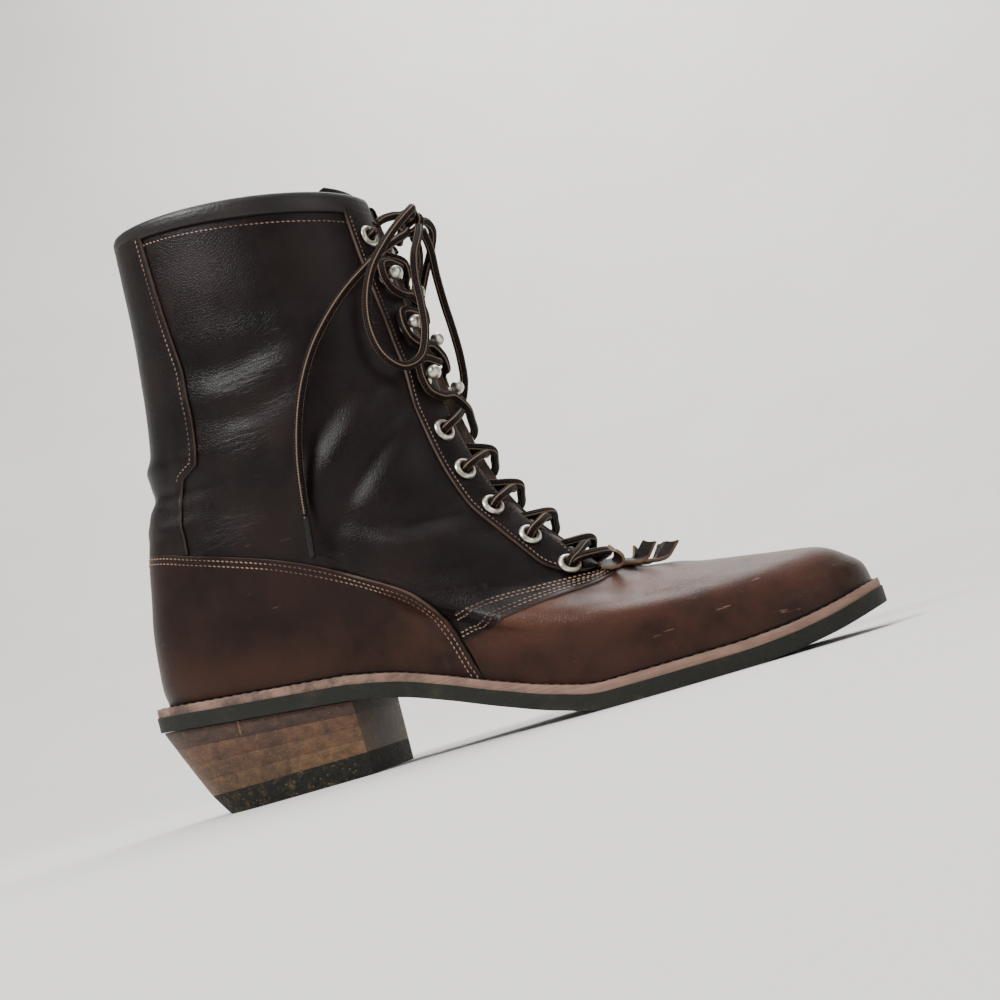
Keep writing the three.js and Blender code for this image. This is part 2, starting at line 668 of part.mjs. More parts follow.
let kiltie = neck.add(riser).intersect(neckBand).add(apron);
for (let i = 0; i < stripCount; i += 1) kiltie = kiltie.add(fringeStripSolid(i));
add('kiltie', geometryOf(kiltie), finishes.fringe);

// Eyelets in their holes, and ball hooks riveted to the eyestays

const facingTop = seam + overlayThickness;
const flangeLift = 0.6;
const eyeletDepth = facingTop + wall - 0.2;
const eyeletProfile = [
  [eyeletHole, -eyeletDepth],
  [eyeletHole + eyeletTube, -eyeletDepth],
  [eyeletHole + eyeletTube, flangeLift],
  [eyeletRadius, flangeLift],
  [eyeletRadius - 0.3, flangeLift + eyeletFlange],
  [eyeletHole, flangeLift + eyeletFlange],
  [eyeletHole, -eyeletDepth],
];
const hookPlate = [[0, flangeLift], [3.6, flangeLift], [3.3, flangeLift + 0.8], [0, flangeLift + 0.8]];
const stationNames = { inner: 'medial', outer: 'lateral' };

function hookSolid(u, v, away) {
  const normal = outward(u, v);
  const foot = skin(u, v, facingTop);
  const across = skin(u + away * 0.01, v, facingTop).sub(foot).normalize();
  const at = (up, out) => foot.clone().addScaledVector(normal, up).addScaledVector(across, out);
  const plateSolid = solid(stand(lathe(hookPlate, holeSides), foot, normal));
  const neckSolid = solid(tube([at(flangeLift + 0.2, 0), at(hookReach * 0.6, -0.6), at(hookReach, 1.6)], 2 * hookNeck, 3, 5));
  const middle = at(hookReach + 0.4, 2.2);
  const ball = new THREE.SphereGeometry(hookBall, 8, 5).translate(middle.x, middle.y, middle.z);
  return plateSolid.add(neckSolid).add(solid(ball));
}

stations.forEach((station, i) => {
  for (const side of sides) {
    const u = station[side];
    const name = `${station.kind}_${stationNames[side]}_${i + 1}`;
    if (station.kind === 'eyelet') {
      add(name, stand(lathe(eyeletProfile, holeSides), skin(u, station.v, facingTop), outward(u, station.v)), finishes.nickel);
    } else {
      add(name, geometryOf(hookSolid(u, station.v, side === 'inner' ? -1 : 1)), finishes.nickel);
    }
  }
});

// Lace: two strands that cross between the stations, lying over the facings, joined where they cross

const laceOver = facingTop + flangeLift + eyeletFlange + 4 * seam + laceDiameter / 2;
const laceBetween = facingTop + 4 * seam + laceDiameter / 2;
const laceBesideHook = hookNeck + laceDiameter / 2 + 0.7;
const laceSideAt = (station) => slotHalf(station.v) + eyeletInset - (station.kind === 'hook' ? laceBesideHook : 0);
const overFacing = (v, across, offset) => skin(besideRidge(v, across), v, offset);

function strand(firstSide) {
  const points = [];
  let side = firstSide;
  stations.forEach((station, i) => {
    const reach = side * laceSideAt(station);
    points.push(overFacing(station.v, reach, laceOver));
    const next = stations[i + 1];
    if (next) {
      points.push(overFacing(mix(station.v, next.v, 0.22), reach * 0.6, laceOver));
      points.push(overFacing(mix(station.v, next.v, 0.5), 0, laceBetween));
      points.push(overFacing(mix(station.v, next.v, 0.78), -side * laceSideAt(next) * 0.6, laceOver));
    }
    side = -side;
  });
  return solid(tube(points, laceDiameter, 4 * (stations.length - 1), crossingSides));
}

const bottomBar = [-1, -0.6, 0, 0.6, 1].map((t) => overFacing(stations[0].v, t * laceSideAt(stations[0]), laceOver));
const barSolid = solid(tube(bottomBar, laceDiameter, 6, crossingSides));
add('lace_crossings', geometryOf(strand(-1).add(strand(1)).add(barSolid)), finishes.lace);

// The free lace: a knot over the top eyelets, a bow of two loops and two ends with their tips

const laceStep = 9;
const knotMiddle = [159.5, 0, 216];
const knotHalf = [6, 8, 6];
const knotRoute = [
  [151.1, -17.4, 214.2], [154.5, -12, 216.5], [159.5, -5, 217], [159.5, 5, 217], [154.5, 12, 216.5], [151.1, 17.4, 214.2],
];
const loopMedialRoute = [
  [164.5, -6.8, 216.9], [166, -11.5, 217.3], [166, -18, 214.5], [161.5, -24.5, 209], [154.5, -30, 201],
  [147.5, -34, 191.5], [142.8, -36.8, 179.5], [141.3, -38, 167], [143.5, -37.3, 156], [149, -33.5, 150],
  [155.5, -29.3, 152], [159.5, -26.3, 161], [161, -24.3, 173], [161.3, -22.3, 185], [162.5, -17.5, 196],
  [164.8, -9.5, 205.5], [165.2, -2.8, 211.6],
];
const loopLateralRoute = [
  [164.5, 6.8, 216.9], [166.2, 11.5, 217.5], [166.6, 18.5, 215], [162.5, 25.5, 209.5], [156, 31, 201.5],
  [149.5, 35, 191], [144.5, 37.8, 178.5], [142.3, 39.3, 165], [143, 39.8, 152], [147.5, 37.8, 142.5],
  [154, 33.3, 141], [159.3, 29, 148.5], [161.5, 26.2, 160], [162, 24.3, 172], [162, 22.2, 184.5],
  [163, 17.3, 196], [165, 9.5, 205.5], [165.2, 2.8, 211.6],
];
const endMedialRoute = [
  [160.2, -5.7, 210.9], [159.5, -10.5, 208], [156.5, -18, 204.5], [151, -24.5, 200], [143.5, -29.3, 194],
  [134.5, -34.2, 186.5], [125.5, -38.6, 177], [117, -41.8, 166], [110, -43.6, 153.5], [104.5, -44, 140],
  [100.5, -43.7, 126], [98, -43, 112], [97, -42.6, 104],
];
const endLateralRoute = [
  [160.2, 5.7, 211.0], [160, 10.5, 208], [157.3, 18, 203.5], [152.5, 24.5, 197.5], [147, 29, 189.5],
  [141, 32.5, 179.5], [135.5, 35.3, 167.5], [131.5, 37.3, 155], [128.8, 38.7, 141.5], [126.8, 40, 127.5],
  [125.3, 41.2, 113.5], [124.3, 42.1, 99.5], [124, 42.3, 92],
];

const asPoint = ([x, y, z]) => new THREE.Vector3(x, y, z);

function laceTube(route) {
  const points = route.map(asPoint);
  const length = new THREE.CatmullRomCurve3(points, false, 'centripetal').getLength();
  return tube(points, laceDiameter, Math.round(length / laceStep), laceSides);
}

// The moulded tip at the free end of a route, in line with its last stretch
function aglet(route) {
  const end = asPoint(route[route.length - 1]);
  const ahead = end.clone().sub(asPoint(route[route.length - 2])).normalize();
  const middle = end.clone().addScaledVector(ahead, seam + agletLength / 2);
  const tip = new THREE.CylinderGeometry(agletDiameter / 2, agletDiameter / 2, agletLength, laceSides);
  return stand(tip, middle, ahead);
}

const knotBall = new THREE.SphereGeometry(1, laceSides, 6).scale(...knotHalf).translate(...knotMiddle);
const cordNodes = [
  add('lace_knot', geometryOf(solid(laceTube(knotRoute)).add(solid(knotBall))), finishes.lace),
  add('lace_loop_medial', laceTube(loopMedialRoute), finishes.lace),
  add('lace_loop_lateral', laceTube(loopLateralRoute), finishes.lace),
  add('lace_end_medial', laceTube(endMedialRoute), finishes.lace),
  add('lace_end_lateral', laceTube(endLateralRoute), finishes.lace),
  add('aglet_medial', aglet(endMedialRoute), finishes.aglet),
  add('aglet_lateral', aglet(endLateralRoute), finishes.aglet),
];

// The origin is the middle of the footprint's box, on the floor, measured without the free lace
const box = new THREE.Box3();
for (const mesh of boot.children.filter((child) => !cordNodes.includes(child))) box.expandByObject(mesh);
const centre = box.getCenter(new THREE.Vector3());
boot.position.set(-centre.x, -centre.y, -box.min.z);

export default boot;
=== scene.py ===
import math

import bmesh
import bpy
import numpy as np
from mathutils import Matrix, Vector


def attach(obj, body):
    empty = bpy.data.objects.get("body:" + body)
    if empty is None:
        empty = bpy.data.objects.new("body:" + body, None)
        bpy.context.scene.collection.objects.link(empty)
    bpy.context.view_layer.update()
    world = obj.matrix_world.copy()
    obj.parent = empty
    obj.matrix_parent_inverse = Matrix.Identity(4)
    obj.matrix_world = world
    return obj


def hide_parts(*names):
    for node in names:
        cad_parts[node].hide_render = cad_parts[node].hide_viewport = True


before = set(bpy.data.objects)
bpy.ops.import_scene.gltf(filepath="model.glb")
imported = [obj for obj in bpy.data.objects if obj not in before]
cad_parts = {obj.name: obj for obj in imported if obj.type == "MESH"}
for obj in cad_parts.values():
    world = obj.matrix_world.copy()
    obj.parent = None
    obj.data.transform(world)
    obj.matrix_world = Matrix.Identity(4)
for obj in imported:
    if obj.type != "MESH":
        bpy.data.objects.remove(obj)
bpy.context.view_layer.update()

# Camera.
# It looks at the inner side from just above the floor, a little from the toe's side, and is rolled
# as far as the photograph is, so that the toe rises to the right.
camera_distance = 0.6
camera_azimuth = math.radians(9.9)
camera_height = 0.016
camera_roll = math.radians(16.3)
camera_lens = 53.0
camera_aim = Vector((0.015, 0.003, 0.092))

camera_side = Vector((math.sin(camera_azimuth), -math.cos(camera_azimuth), 0))
camera_spot = camera_aim + camera_distance * camera_side
camera_spot.z = camera_height
look = (camera_aim - camera_spot).normalized()
level = look.cross(Vector((0, 0, 1))).normalized()
upright = level.cross(look)
right = level * math.cos(camera_roll) - upright * math.sin(camera_roll)
up = upright * math.cos(camera_roll) + level * math.sin(camera_roll)
camera = bpy.data.objects.new("camera", bpy.data.cameras.new("camera"))
camera.data.lens = camera_lens
camera.data.clip_start = 0.01
camera.matrix_world = Matrix.Translation(camera_spot) @ Matrix((right, up, -look)).transposed().to_4x4()
bpy.context.scene.collection.objects.link(camera)
bpy.context.scene.camera = camera


# Materials are written as expressions on sockets: each operator adds its Math node.
class Value:
    def __init__(self, finish, socket):
        self.finish = finish
        self.socket = socket

    def math(self, operation, *values, clamp=False):
        return self.finish.add("ShaderNodeMath", {"operation": operation, "use_clamp": clamp}, values)

    def __add__(self, other):
        return self.math("ADD", self, other)

    __radd__ = __add__

    def __sub__(self, other):
        return self.math("SUBTRACT", self, other)

    def __rsub__(self, other):
        return self.math("SUBTRACT", other, self)

    def __mul__(self, other):
        return self.math("MULTIPLY", self, other)

    __rmul__ = __mul__

    def sine(self):
        return self.math("SINE", self)

    def between(self, low, high):
        """0 below low, 1 above high, and smooth between them."""
        sockets = {"Value": self, "From Min": low, "From Max": high}
        return self.finish.add("ShaderNodeMapRange", {"interpolation_type": "SMOOTHSTEP"}, sockets)


class Finish:
    """A material with one Principled shader, whose nodes are added one by one."""

    def __init__(self, name):
        self.material = bpy.data.materials.new(name)
        self.material.use_nodes = True
        self.tree = self.material.node_tree
        self.tree.nodes.clear()

    def add(self, kind, settings=None, sockets=(), output=0):
        node = self.tree.nodes.new(kind)
        for key, value in (settings or {}).items():
            setattr(node, key, value)
        pairs = sockets.items() if isinstance(sockets, dict) else enumerate(sockets)
        for key, value in pairs:
            if isinstance(value, Value):
                self.tree.links.new(value.socket, node.inputs[key])
            else:
                node.inputs[key].default_value = value
        return Value(self, node.outputs[output]) if node.outputs else None

    def place(self, scale=(1, 1, 1), turn=(0, 0, 0), move=(0, 0, 0)):
        """Object coordinates, moved, turned and stretched."""
        coordinates = self.add("ShaderNodeTexCoord", output=3)
        sockets = {"Vector": coordinates, "Scale": scale, "Rotation": turn, "Location": move}
        return self.add("ShaderNodeMapping", None, sockets)

    def uv(self):
        """The two numbers of the piece's own UV map."""
        coordinates = self.add("ShaderNodeTexCoord", output=2)
        return [self.add("ShaderNodeSeparateXYZ", None, [coordinates], output=i) for i in (0, 1)]

    def axes(self):
        """Object coordinates as three numbers, in metres."""
        coordinates = self.add("ShaderNodeTexCoord", output=3)
        return [self.add("ShaderNodeSeparateXYZ", None, [coordinates], output=i) for i in (0, 1, 2)]

    def noise(self, scale, detail=4, rough=0.55, place=None):
        sockets = {"Vector": place or self.place(), "Scale": scale, "Detail": detail, "Roughness": rough}
        return self.add("ShaderNodeTexNoise", None, sockets)

    def cells(self, scale, place=None, feature="DISTANCE_TO_EDGE"):
        sockets = {"Vector": place or self.place(), "Scale": scale}
        return self.add("ShaderNodeTexVoronoi", {"feature": feature}, sockets)

    def near(self, centre, radii):
        """1 at a place, given in metres, and fading to 0 at the radii round it."""
        scale = [1 / radius for radius in radii]
        move = [-spot / radius for spot, radius in zip(centre, radii)]
        place = self.place(scale, move=move)
        away = self.add("ShaderNodeVectorMath", {"operation": "LENGTH"}, [place], output=1)
        return 1 - away.between(0.25, 1.0)

    def blend(self, mask, first, second):
        """first where mask is 0 and second where it is 1, as colours."""
        settings = {"data_type": "RGBA", "clamp_factor": True}
        return self.add("ShaderNodeMix", settings, {0: mask, 6: first, 7: second}, output=2)

    def finish(self, color, roughness, height=None, depth=0.0002, constants=None, **varying):
        """Closes the material: height is a bump of that depth in metres."""
        sockets = {"Base Color": color, "Roughness": roughness}
        if height is not None:
            sockets["Normal"] = self.add("ShaderNodeBump", None, {"Distance": depth, "Height": height})
        sockets.update(constants or {})
        sockets.update(varying)
        shader = self.add("ShaderNodeBsdfPrincipled", None, sockets)
        self.add("ShaderNodeOutputMaterial", None, [shader])
        return self.material


def rgb(red, green, blue):
    """A colour of the photograph, 0 to 255 a channel, as the shader's linear numbers."""
    linear = [((c / 255 + 0.055) / 1.055) ** 2.4 if c > 10 else c / 3295 for c in (red, green, blue)]
    return (*linear, 1)


# Floor.
# One pale sheet that turns up all round far from the boot, so that no edge or horizon shows. It has
# a smooth matt face with hardly any tone of its own.
floor_radius = 0.9
floor_bend = 2.6
floor_wall = 5.0


def made_of(work, name):
    """An object with the shape of a finished bmesh."""
    mesh = bpy.data.meshes.new(name)
    work.to_mesh(mesh)
    work.free()
    piece = bpy.data.objects.new(name, mesh)
    bpy.context.scene.collection.objects.link(piece)
    return piece


sheet = bmesh.new()
corner = sheet.verts.new((0, 0, 0))
profile = [(floor_radius, 0)]
profile += [
    (floor_radius + floor_bend * math.sin(angle), floor_bend * (1 - math.cos(angle)))
    for angle in np.linspace(0.06, math.pi / 2, 24)
]
profile.append((floor_radius + floor_bend, floor_wall))
for distance, height in profile:
    point = sheet.verts.new((distance, 0, height))
    sheet.edges.new((corner, point))
    corner = point
bmesh.ops.spin(
    sheet, geom=sheet.verts[:] + sheet.edges[:], cent=(0, 0, 0), axis=(0, 0, 1),
    angle=2 * math.pi, steps=64, use_merge=True, use_duplicate=False,
)
bmesh.ops.remove_doubles(sheet, verts=sheet.verts, dist=1e-5)
bmesh.ops.recalc_face_normals(sheet, faces=sheet.faces)
middle_face = min(sheet.faces, key=lambda face: face.calc_center_median().length)
if middle_face.normal.z < 0:
    bmesh.ops.reverse_faces(sheet, faces=sheet.faces)
floor = made_of(sheet, "floor")
floor.data.polygons.foreach_set("use_smooth", [True] * len(floor.data.polygons))
cloth = Finish("floor_cloth")
cloth_colour = cloth.blend(cloth.noise(3.0, 3), rgb(196, 194, 189), rgb(206, 205, 201))
floor.data.materials.append(cloth.finish(cloth_colour, 0.95))

# Studio light.
# A soft key light up to the left, a weaker one from the right, a wide one overhead that keeps the
# floor even, one on the backdrop far behind the boot, and a dim grey sky.
at_boot = (0, 0, 0.1)
at_backdrop = (0.2, 3.2, 1.2)
lights = [
    ("key", (-0.8, -0.9, 1.3), at_boot, 0.5, 40),
    ("fill", (1.1, -0.9, 0.7), at_boot, 0.7, 5),
    ("overhead", (0.0, 0.4, 2.6), at_boot, 2.4, 78),
    ("backdrop", (0.2, 2.4, 3.0), at_backdrop, 2.0, 120),
]
for light_name, spot, target, size, power in lights:
    lamp = bpy.data.lights.new(light_name, "AREA")
    lamp.size = size
    lamp.energy = power
    light = bpy.data.objects.new(light_name, lamp)
    light.location = spot
    light.rotation_euler = (Vector(target) - Vector(spot)).to_track_quat("-Z", "Y").to_euler()
    bpy.context.scene.collection.objects.link(light)
sky = bpy.data.worlds.new("sky")
sky.use_nodes = True
sky_shader = sky.node_tree.nodes["Background"]
sky_shader.inputs["Color"].default_value = (0.9, 0.93, 1.0, 1)
sky_shader.inputs["Strength"].default_value = 0.3
bpy.context.scene.world = sky

# Free lace: the knot, the bow's two loops and the two ends.
# Round braided cord, black-brown with thin tan stripes, tied over the top eyelets; the ends hang
# down the sides of the shaft and finish in moulded tips.
lace_diameter = 0.0036
lace_sides = 16
lace_step = 0.9
boot_shift = np.array([-150.0, 1.838, 0.0])
knot_route = [
    (151.1, -17.4, 214.2), (153.6, -13.6, 216.3), (157.2, -9.2, 217.6), (160.8, -5.2, 217.6),
    (163.4, -1.6, 218.4), (163.6, 1.9, 220.0), (161.2, 3.6, 221.3), (158.0, 3.1, 220.6),
    (156.6, 1.2, 217.4), (157.4, 0.2, 213.4), (160.6, 0.0, 211.3), (164.0, 0.3, 212.3),
    (165.6, 0.9, 215.2), (164.9, 2.8, 217.9), (161.2, 5.9, 218.0), (157.2, 9.4, 217.6),
    (153.6, 13.6, 216.3), (151.1, 17.4, 214.2),
]
loop_medial_route = [
    (164.5, -6.8, 216.9), (166, -11.5, 217.3), (166, -18, 214.5), (161.5, -24.5, 209), (154.5, -30, 201),
    (147.5, -34, 191.5), (142.8, -36.8, 179.5), (141.3, -38, 167), (143.5, -37.3, 156), (149, -33.5, 150),
    (155.5, -29.3, 152), (159.5, -26.3, 161), (161, -24.3, 173), (161.3, -22.3, 185), (162.5, -17.5, 196),
    (164.8, -9.5, 205.5), (165.2, -2.8, 211.6),
]
loop_lateral_route = [
    (164.5, 6.8, 216.9), (166.2, 11.5, 217.5), (166.6, 18.5, 215), (162.5, 25.5, 209.5), (156, 31, 201.5),
    (149.5, 35, 191), (144.5, 37.8, 178.5), (142.3, 39.3, 165), (143, 39.8, 152), (147.5, 37.8, 142.5),
    (154, 33.3, 141), (159.3, 29, 148.5), (161.5, 26.2, 160), (162, 24.3, 172), (162, 22.2, 184.5),
    (163, 17.3, 196), (165, 9.5, 205.5), (165.2, 2.8, 211.6),
]
end_medial_route = [
    (160.2, -5.7, 210.9), (159.5, -10.5, 208), (156.5, -18, 204.5), (151, -24.5, 200), (143.5, -29.3, 194),
    (134.5, -34.2, 186.5), (125.5, -38.6, 177), (117, -41.8, 166), (110, -43.6, 153.5), (104.5, -44, 140),
    (100.5, -43.7, 126), (98, -43, 112), (97, -42.6, 104),
]
end_lateral_route = [
    (160.2, 5.7, 211.0), (160, 10.5, 208), (157.3, 18, 203.5), (152.5, 24.5, 197.5), (147, 29, 189.5),
    (141, 32.5, 179.5), (135.5, 35.3, 167.5), (131.5, 37.3, 155), (128.8, 38.7, 141.5), (126.8, 40, 127.5),
    (125.3, 41.2, 113.5), (124.3, 42.1, 99.5), (124, 42.3, 92),
]


def in_frame(points):
    """Millimetres from the sole's rear end as metres in the model's frame."""
    return (np.asarray(points, float) + boot_shift) * 0.001


def walked_to(points):
    """How far a walk along a line of points has come at each of them."""
    return np.concatenate([[0], np.cumsum(np.linalg.norm(np.diff(points, axis=0), axis=1))])


def smooth_route(points, step):
    """Evenly spaced points on the centripetal curve through points."""
    given = np.asarray(points, float)
    given = np.vstack([2 * given[0] - given[1], given, 2 * given[-1] - given[-2]])
    knots = np.concatenate([[0], np.cumsum(np.linalg.norm(np.diff(given, axis=0), axis=1) ** 0.5)])
    dense = []
    for k in range(1, len(given) - 2):
        p0, p1, p2, p3 = given[k - 1:k + 3]
        t0, t1, t2, t3 = knots[k - 1:k + 3]
        t = np.linspace(t1, t2, 24, endpoint=False)[:, None]
        a1 = (t1 - t) / (t1 - t0) * p0 + (t - t0) / (t1 - t0) * p1
        a2 = (t2 - t) / (t2 - t1) * p1 + (t - t1) / (t2 - t1) * p2
        a3 = (t3 - t) / (t3 - t2) * p2 + (t - t2) / (t3 - t2) * p3
        b1 = (t2 - t) / (t2 - t0) * a1 + (t - t0) / (t2 - t0) * a2
        b2 = (t3 - t) / (t3 - t1) * a2 + (t - t1) / (t3 - t1) * a3
        dense.append((t2 - t) / (t2 - t1) * b1 + (t - t1) / (t2 - t1) * b2)
    dense = np.vstack(dense + [given[-2:-1]])
    walked = walked_to(dense)
    even = np.linspace(0, walked[-1], max(2, round(walked[-1] / step) + 1))
    return np.stack([np.interp(even, walked, dense[:, axis]) for axis in range(3)], axis=1)


def formed_grid(name, columns, rows, place, length=1, weld=False, fill=False):
    """A grid whose points go to place(s, t), s and t from 0 to 1; its UV map is s times length, and t."""
    work = bmesh.new()
    layer = work.loops.layers.uv.new("UVMap")
    bmesh.ops.create_grid(work, x_segments=columns, y_segments=rows, size=0.5)
    shares = np.array([(vertex.co.x + 0.5, vertex.co.y + 0.5) for vertex in work.verts])
    spots = place(shares[:, 0], shares[:, 1])
    for face in work.faces:
        for loop in face.loops:
            s, t = shares[loop.vert.index]
            loop[layer].uv = (s * length, t)
        face.smooth = True
    for vertex, spot in zip(work.verts, spots):
        vertex.co = spot
    if weld:
        bmesh.ops.remove_doubles(work, verts=work.verts, dist=1e-6)
    if fill:
        bmesh.ops.holes_fill(work, edges=[edge for edge in work.edges if edge.is_boundary], sides=64)
    return made_of(work, name)


def fit(piece, slot_name, materials, *nodes):
    """Gives a piece its finish and its place in the model, in place of its nodes' solids."""
    for material in materials:
        piece.data.materials.append(material)
    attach(piece, "root")
    if nodes:
        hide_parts(*nodes)


def lace_tube(name, route, radius=lace_diameter / 2):
    """A round cord along points in metres; its UV map is the length in metres and the turn round it."""
    route = np.asarray(route)
    ahead = np.gradient(route, axis=0)
    ahead /= np.linalg.norm(ahead, axis=1)[:, None]
    side = np.zeros_like(route)
    first = np.cross(ahead[0], (0.3, 0.2, 1.0))
    side[0] = first / np.linalg.norm(first)
    for k in range(1, len(route)):
        turned = side[k - 1] - ahead[k] * side[k - 1].dot(ahead[k])
        side[k] = turned / np.linalg.norm(turned)
    other = np.cross(ahead, side)

    def around(s, t):
        k = np.rint(s * (len(route) - 1)).astype(int)
        angle = -2 * math.pi * t
        return route[k] + radius * (np.cos(angle)[:, None] * side[k] + np.sin(angle)[:, None] * other[k])

    return formed_grid(name, len(route) - 1, lace_sides, around, walked_to(route)[-1], True, True)


lace = Finish("braided_lace")
lace_along, lace_round = lace.uv()
lace_turn = lace_round * (8 * math.pi)
lace_stripes = lace_turn.sine().between(0.72, 0.94)
braid_run = lace_along * (2 * math.pi / 0.0022)
braid = (braid_run + lace_turn).sine() * (braid_run - lace_turn).sine()
lace_dust = lace.noise(900, 2)
lace_dark = lace.blend(lace_dust, rgb(14, 10, 9), rgb(30, 22, 20))
lace_colour = lace.blend(lace_stripes * 0.8, lace_dark, rgb(120, 98, 82))
lace_material = lace.finish(lace_colour, 0.75, braid, 0.00022, {"Specular IOR Level": 0.12})
tip = Finish("moulded_tip")
tip_tone = tip.blend(tip.noise(500), rgb(10, 7, 7), rgb(26, 20, 19))
tip_material = tip.finish(tip_tone, 0.4, constants={"Specular IOR Level": 0.25})
aglet_length = 0.017
aglet_radius = 0.0014


def moulded_tip(node, route):
    """A plain tapered tip in line with the end of a lace."""
    ahead = (route[-1] - route[-2]) / np.linalg.norm(route[-1] - route[-2])
    shares = np.array([0.0, 0.03, 0.1, 0.5, 0.9, 0.97, 1.0])
    widths = np.array([0.5, 0.92, 1.0, 0.97, 0.93, 0.85, 0.5])
    start = route[-1] + ahead * 0.0003
    piece = lace_tube(node + "_moulded", start + np.outer(shares * aglet_length, ahead), 1.0)
    for vertex in piece.data.vertices:
        away = np.array(vertex.co) - start
        ring = np.abs(shares - away.dot(ahead) / aglet_length).argmin()
        out = away - ahead * away.dot(ahead)
        centre = start + ahead * aglet_length * shares[ring]
        vertex.co = centre + out / np.linalg.norm(out) * aglet_radius * widths[ring]
    fit(piece, "aglet_plastic", [tip_material], node)
    return piece


def free_lace(name, route, tip_name=None):
    """One declared stretch of the lace, in place of its CAD solid."""
    spots = in_frame(smooth_route(route, lace_step))
    piece = lace_tube(name + "_cord", spots)
    fit(piece, "lace_cord", [lace_material], name)
    pieces = [moulded_tip(tip_name, spots)] if tip_name else []


free_lace("lace_knot", knot_route)
free_lace("lace_loop_medial", loop_medial_route)
free_lace("lace_loop_lateral", loop_lateral_route)
free_lace("lace_end_medial", end_medial_route, "aglet_medial")
free_lace("lace_end_lateral", end_lateral_route, "aglet_lateral")

# Outsole.
# One moulded sheet of black-green rubber under the whole foot, ribbed across under the forepart,
# smooth in the shank, with the sewing thread sunk in a channel near its edge.
sole_length = 300.0
outsole_thickness = 6.3
heel_breast = 92.0
heel_height = 30.0
seat_pitch = 10.0
toe_spring = 9.0
toe_swing = 5.0
seam = 0.3
heel_width, waist_width, ball_width, toe_width = 69.0, 67.0, 99.0, 72.0
outline_shares = [0.0, 0.04, 0.12, 0.22, 0.32, 0.42, 0.52, 0.62, 0.72, 0.82, 0.91, 1.0]
outline_full = [2.1, 1.88, 1.5, 1.21, 1.086, 1.018, 1.18, 1.0, 1.11, 1.145, 1.68, 1.83]
outline_widths = [heel_width] * 4 + [waist_width] * 3 + [ball_width] * 3 + [toe_width] * 2
outline_half = [full * width / 2 for full, width in zip(outline_full, outline_widths)]
outline_swing = [0, 0, 0, 0, 0, -0.1, -0.1, 0.1, 0.4, 0.45, 0.65, 1]
arch_shares = [heel_breast / sole_length, 0.37, 0.43, 0.5, 0.573, 0.64, 0.8, 0.86, 0.92, 1.0]
arch_heel = [1, 0.86, 0.65, 0.38, 0.137, 0, 0, 0, 0, 0]
arch_toe = [0, 0, 0, 0, 0, 0, 0, 0.1, 0.37, 1]


def mix(first, second, share):
    """first where the share is 0 and second where it is 1."""
    return first + (second - first) * share


def along(places, values, at):
    """Smooth values at the places in at, from a table; values may have one column for each of them."""
    places = np.asarray(places, float)
    values = np.asarray(values, float)
    values = values.reshape(len(places), -1)
    at = np.asarray(at, float)
    step = np.diff(places)
    slope = np.diff(values, axis=0) / step[:, None]
    same = slope[:-1] * slope[1:] > 0
    total = np.where(same, slope[:-1] + slope[1:], 1)
    middle = np.where(same, 2 * slope[:-1] * slope[1:] / total, 0)
    tangent = np.concatenate([slope[:1], middle, slope[-1:]])
    k = np.clip(np.searchsorted(places, at, side="right") - 1, 0, len(places) - 2)
    column = np.arange(at.size) if values.shape[1] > 1 else np.zeros(at.size, int)
    t = (at - places[k]) / step[k]
    low, high = values[k, column], values[k + 1, column]
    start, end = tangent[k, column] * step[k], tangent[k + 1, column] * step[k]
    inside = (1 + 2 * t) * (1 - t) ** 2 * low + t * (1 - t) ** 2 * start
    inside += t * t * (3 - 2 * t) * high - t * t * (1 - t) * end
    return np.where(t < 0, low + start * t, np.where(t > 1, high + end * (t - 1), inside))


def outline_edge(u):
    """The sole's edge in plan: u runs round it from the back, by the inner side, to the toe at a half."""
    share = (1 - np.cos(2 * math.pi * u)) / 2
    swing = -toe_swing * along(outline_shares, outline_swing, share)
    across = swing - along(outline_shares, outline_half, share) * np.sin(2 * math.pi * u)
    return np.stack([sole_length * share, across], axis=1)


def outline(u, inset):
    """The sole's edge, moved inwards."""
    u = np.asarray(u, float)
    ahead = outline_edge(u + 0.002) - outline_edge(u - 0.002)
    ahead /= np.linalg.norm(ahead, axis=1)[:, None]
    inward = np.stack([-ahead[:, 1], ahead[:, 0]], axis=1)
    return outline_edge(u) + inward * np.reshape(inset, (-1, 1))


def underside(x):
    """Height of the outsole's lower face: up at the seat, down at the ball and up again at the toe."""
    share = np.minimum(x / sole_length, 1)
    arch = heel_height * along(arch_shares, arch_heel, share)
    arch += toe_spring * along(arch_shares, arch_toe, share)
    return np.where(x < heel_breast, heel_height + seat_pitch * (1 - x / heel_breast), arch)


rib_pitch = 2.2
rib_depth = 0.8
rib_start = 166.0
channel_inset = 6.6
channel_half = 0.9
channel_depth = 0.8
outline_ring = outline_edge(np.linspace(0, 1, 720, endpoint=False))
breast_turn = math.acos(1 - 2 * heel_breast / sole_length) / (2 * math.pi)
sole_columns = 420


def edge_distance(x, y):
    """How far points of the sole lie inside its edge."""
    spots = np.stack([x, y], axis=1)
    nearest = np.full(len(spots), 1e9)
    batch = 2000
    for start in range(0, len(spots), batch):
        gaps = np.linalg.norm(spots[start:start + batch, None] - outline_ring[None], axis=2)
        nearest[start:start + batch] = gaps.min(axis=1)
    return nearest


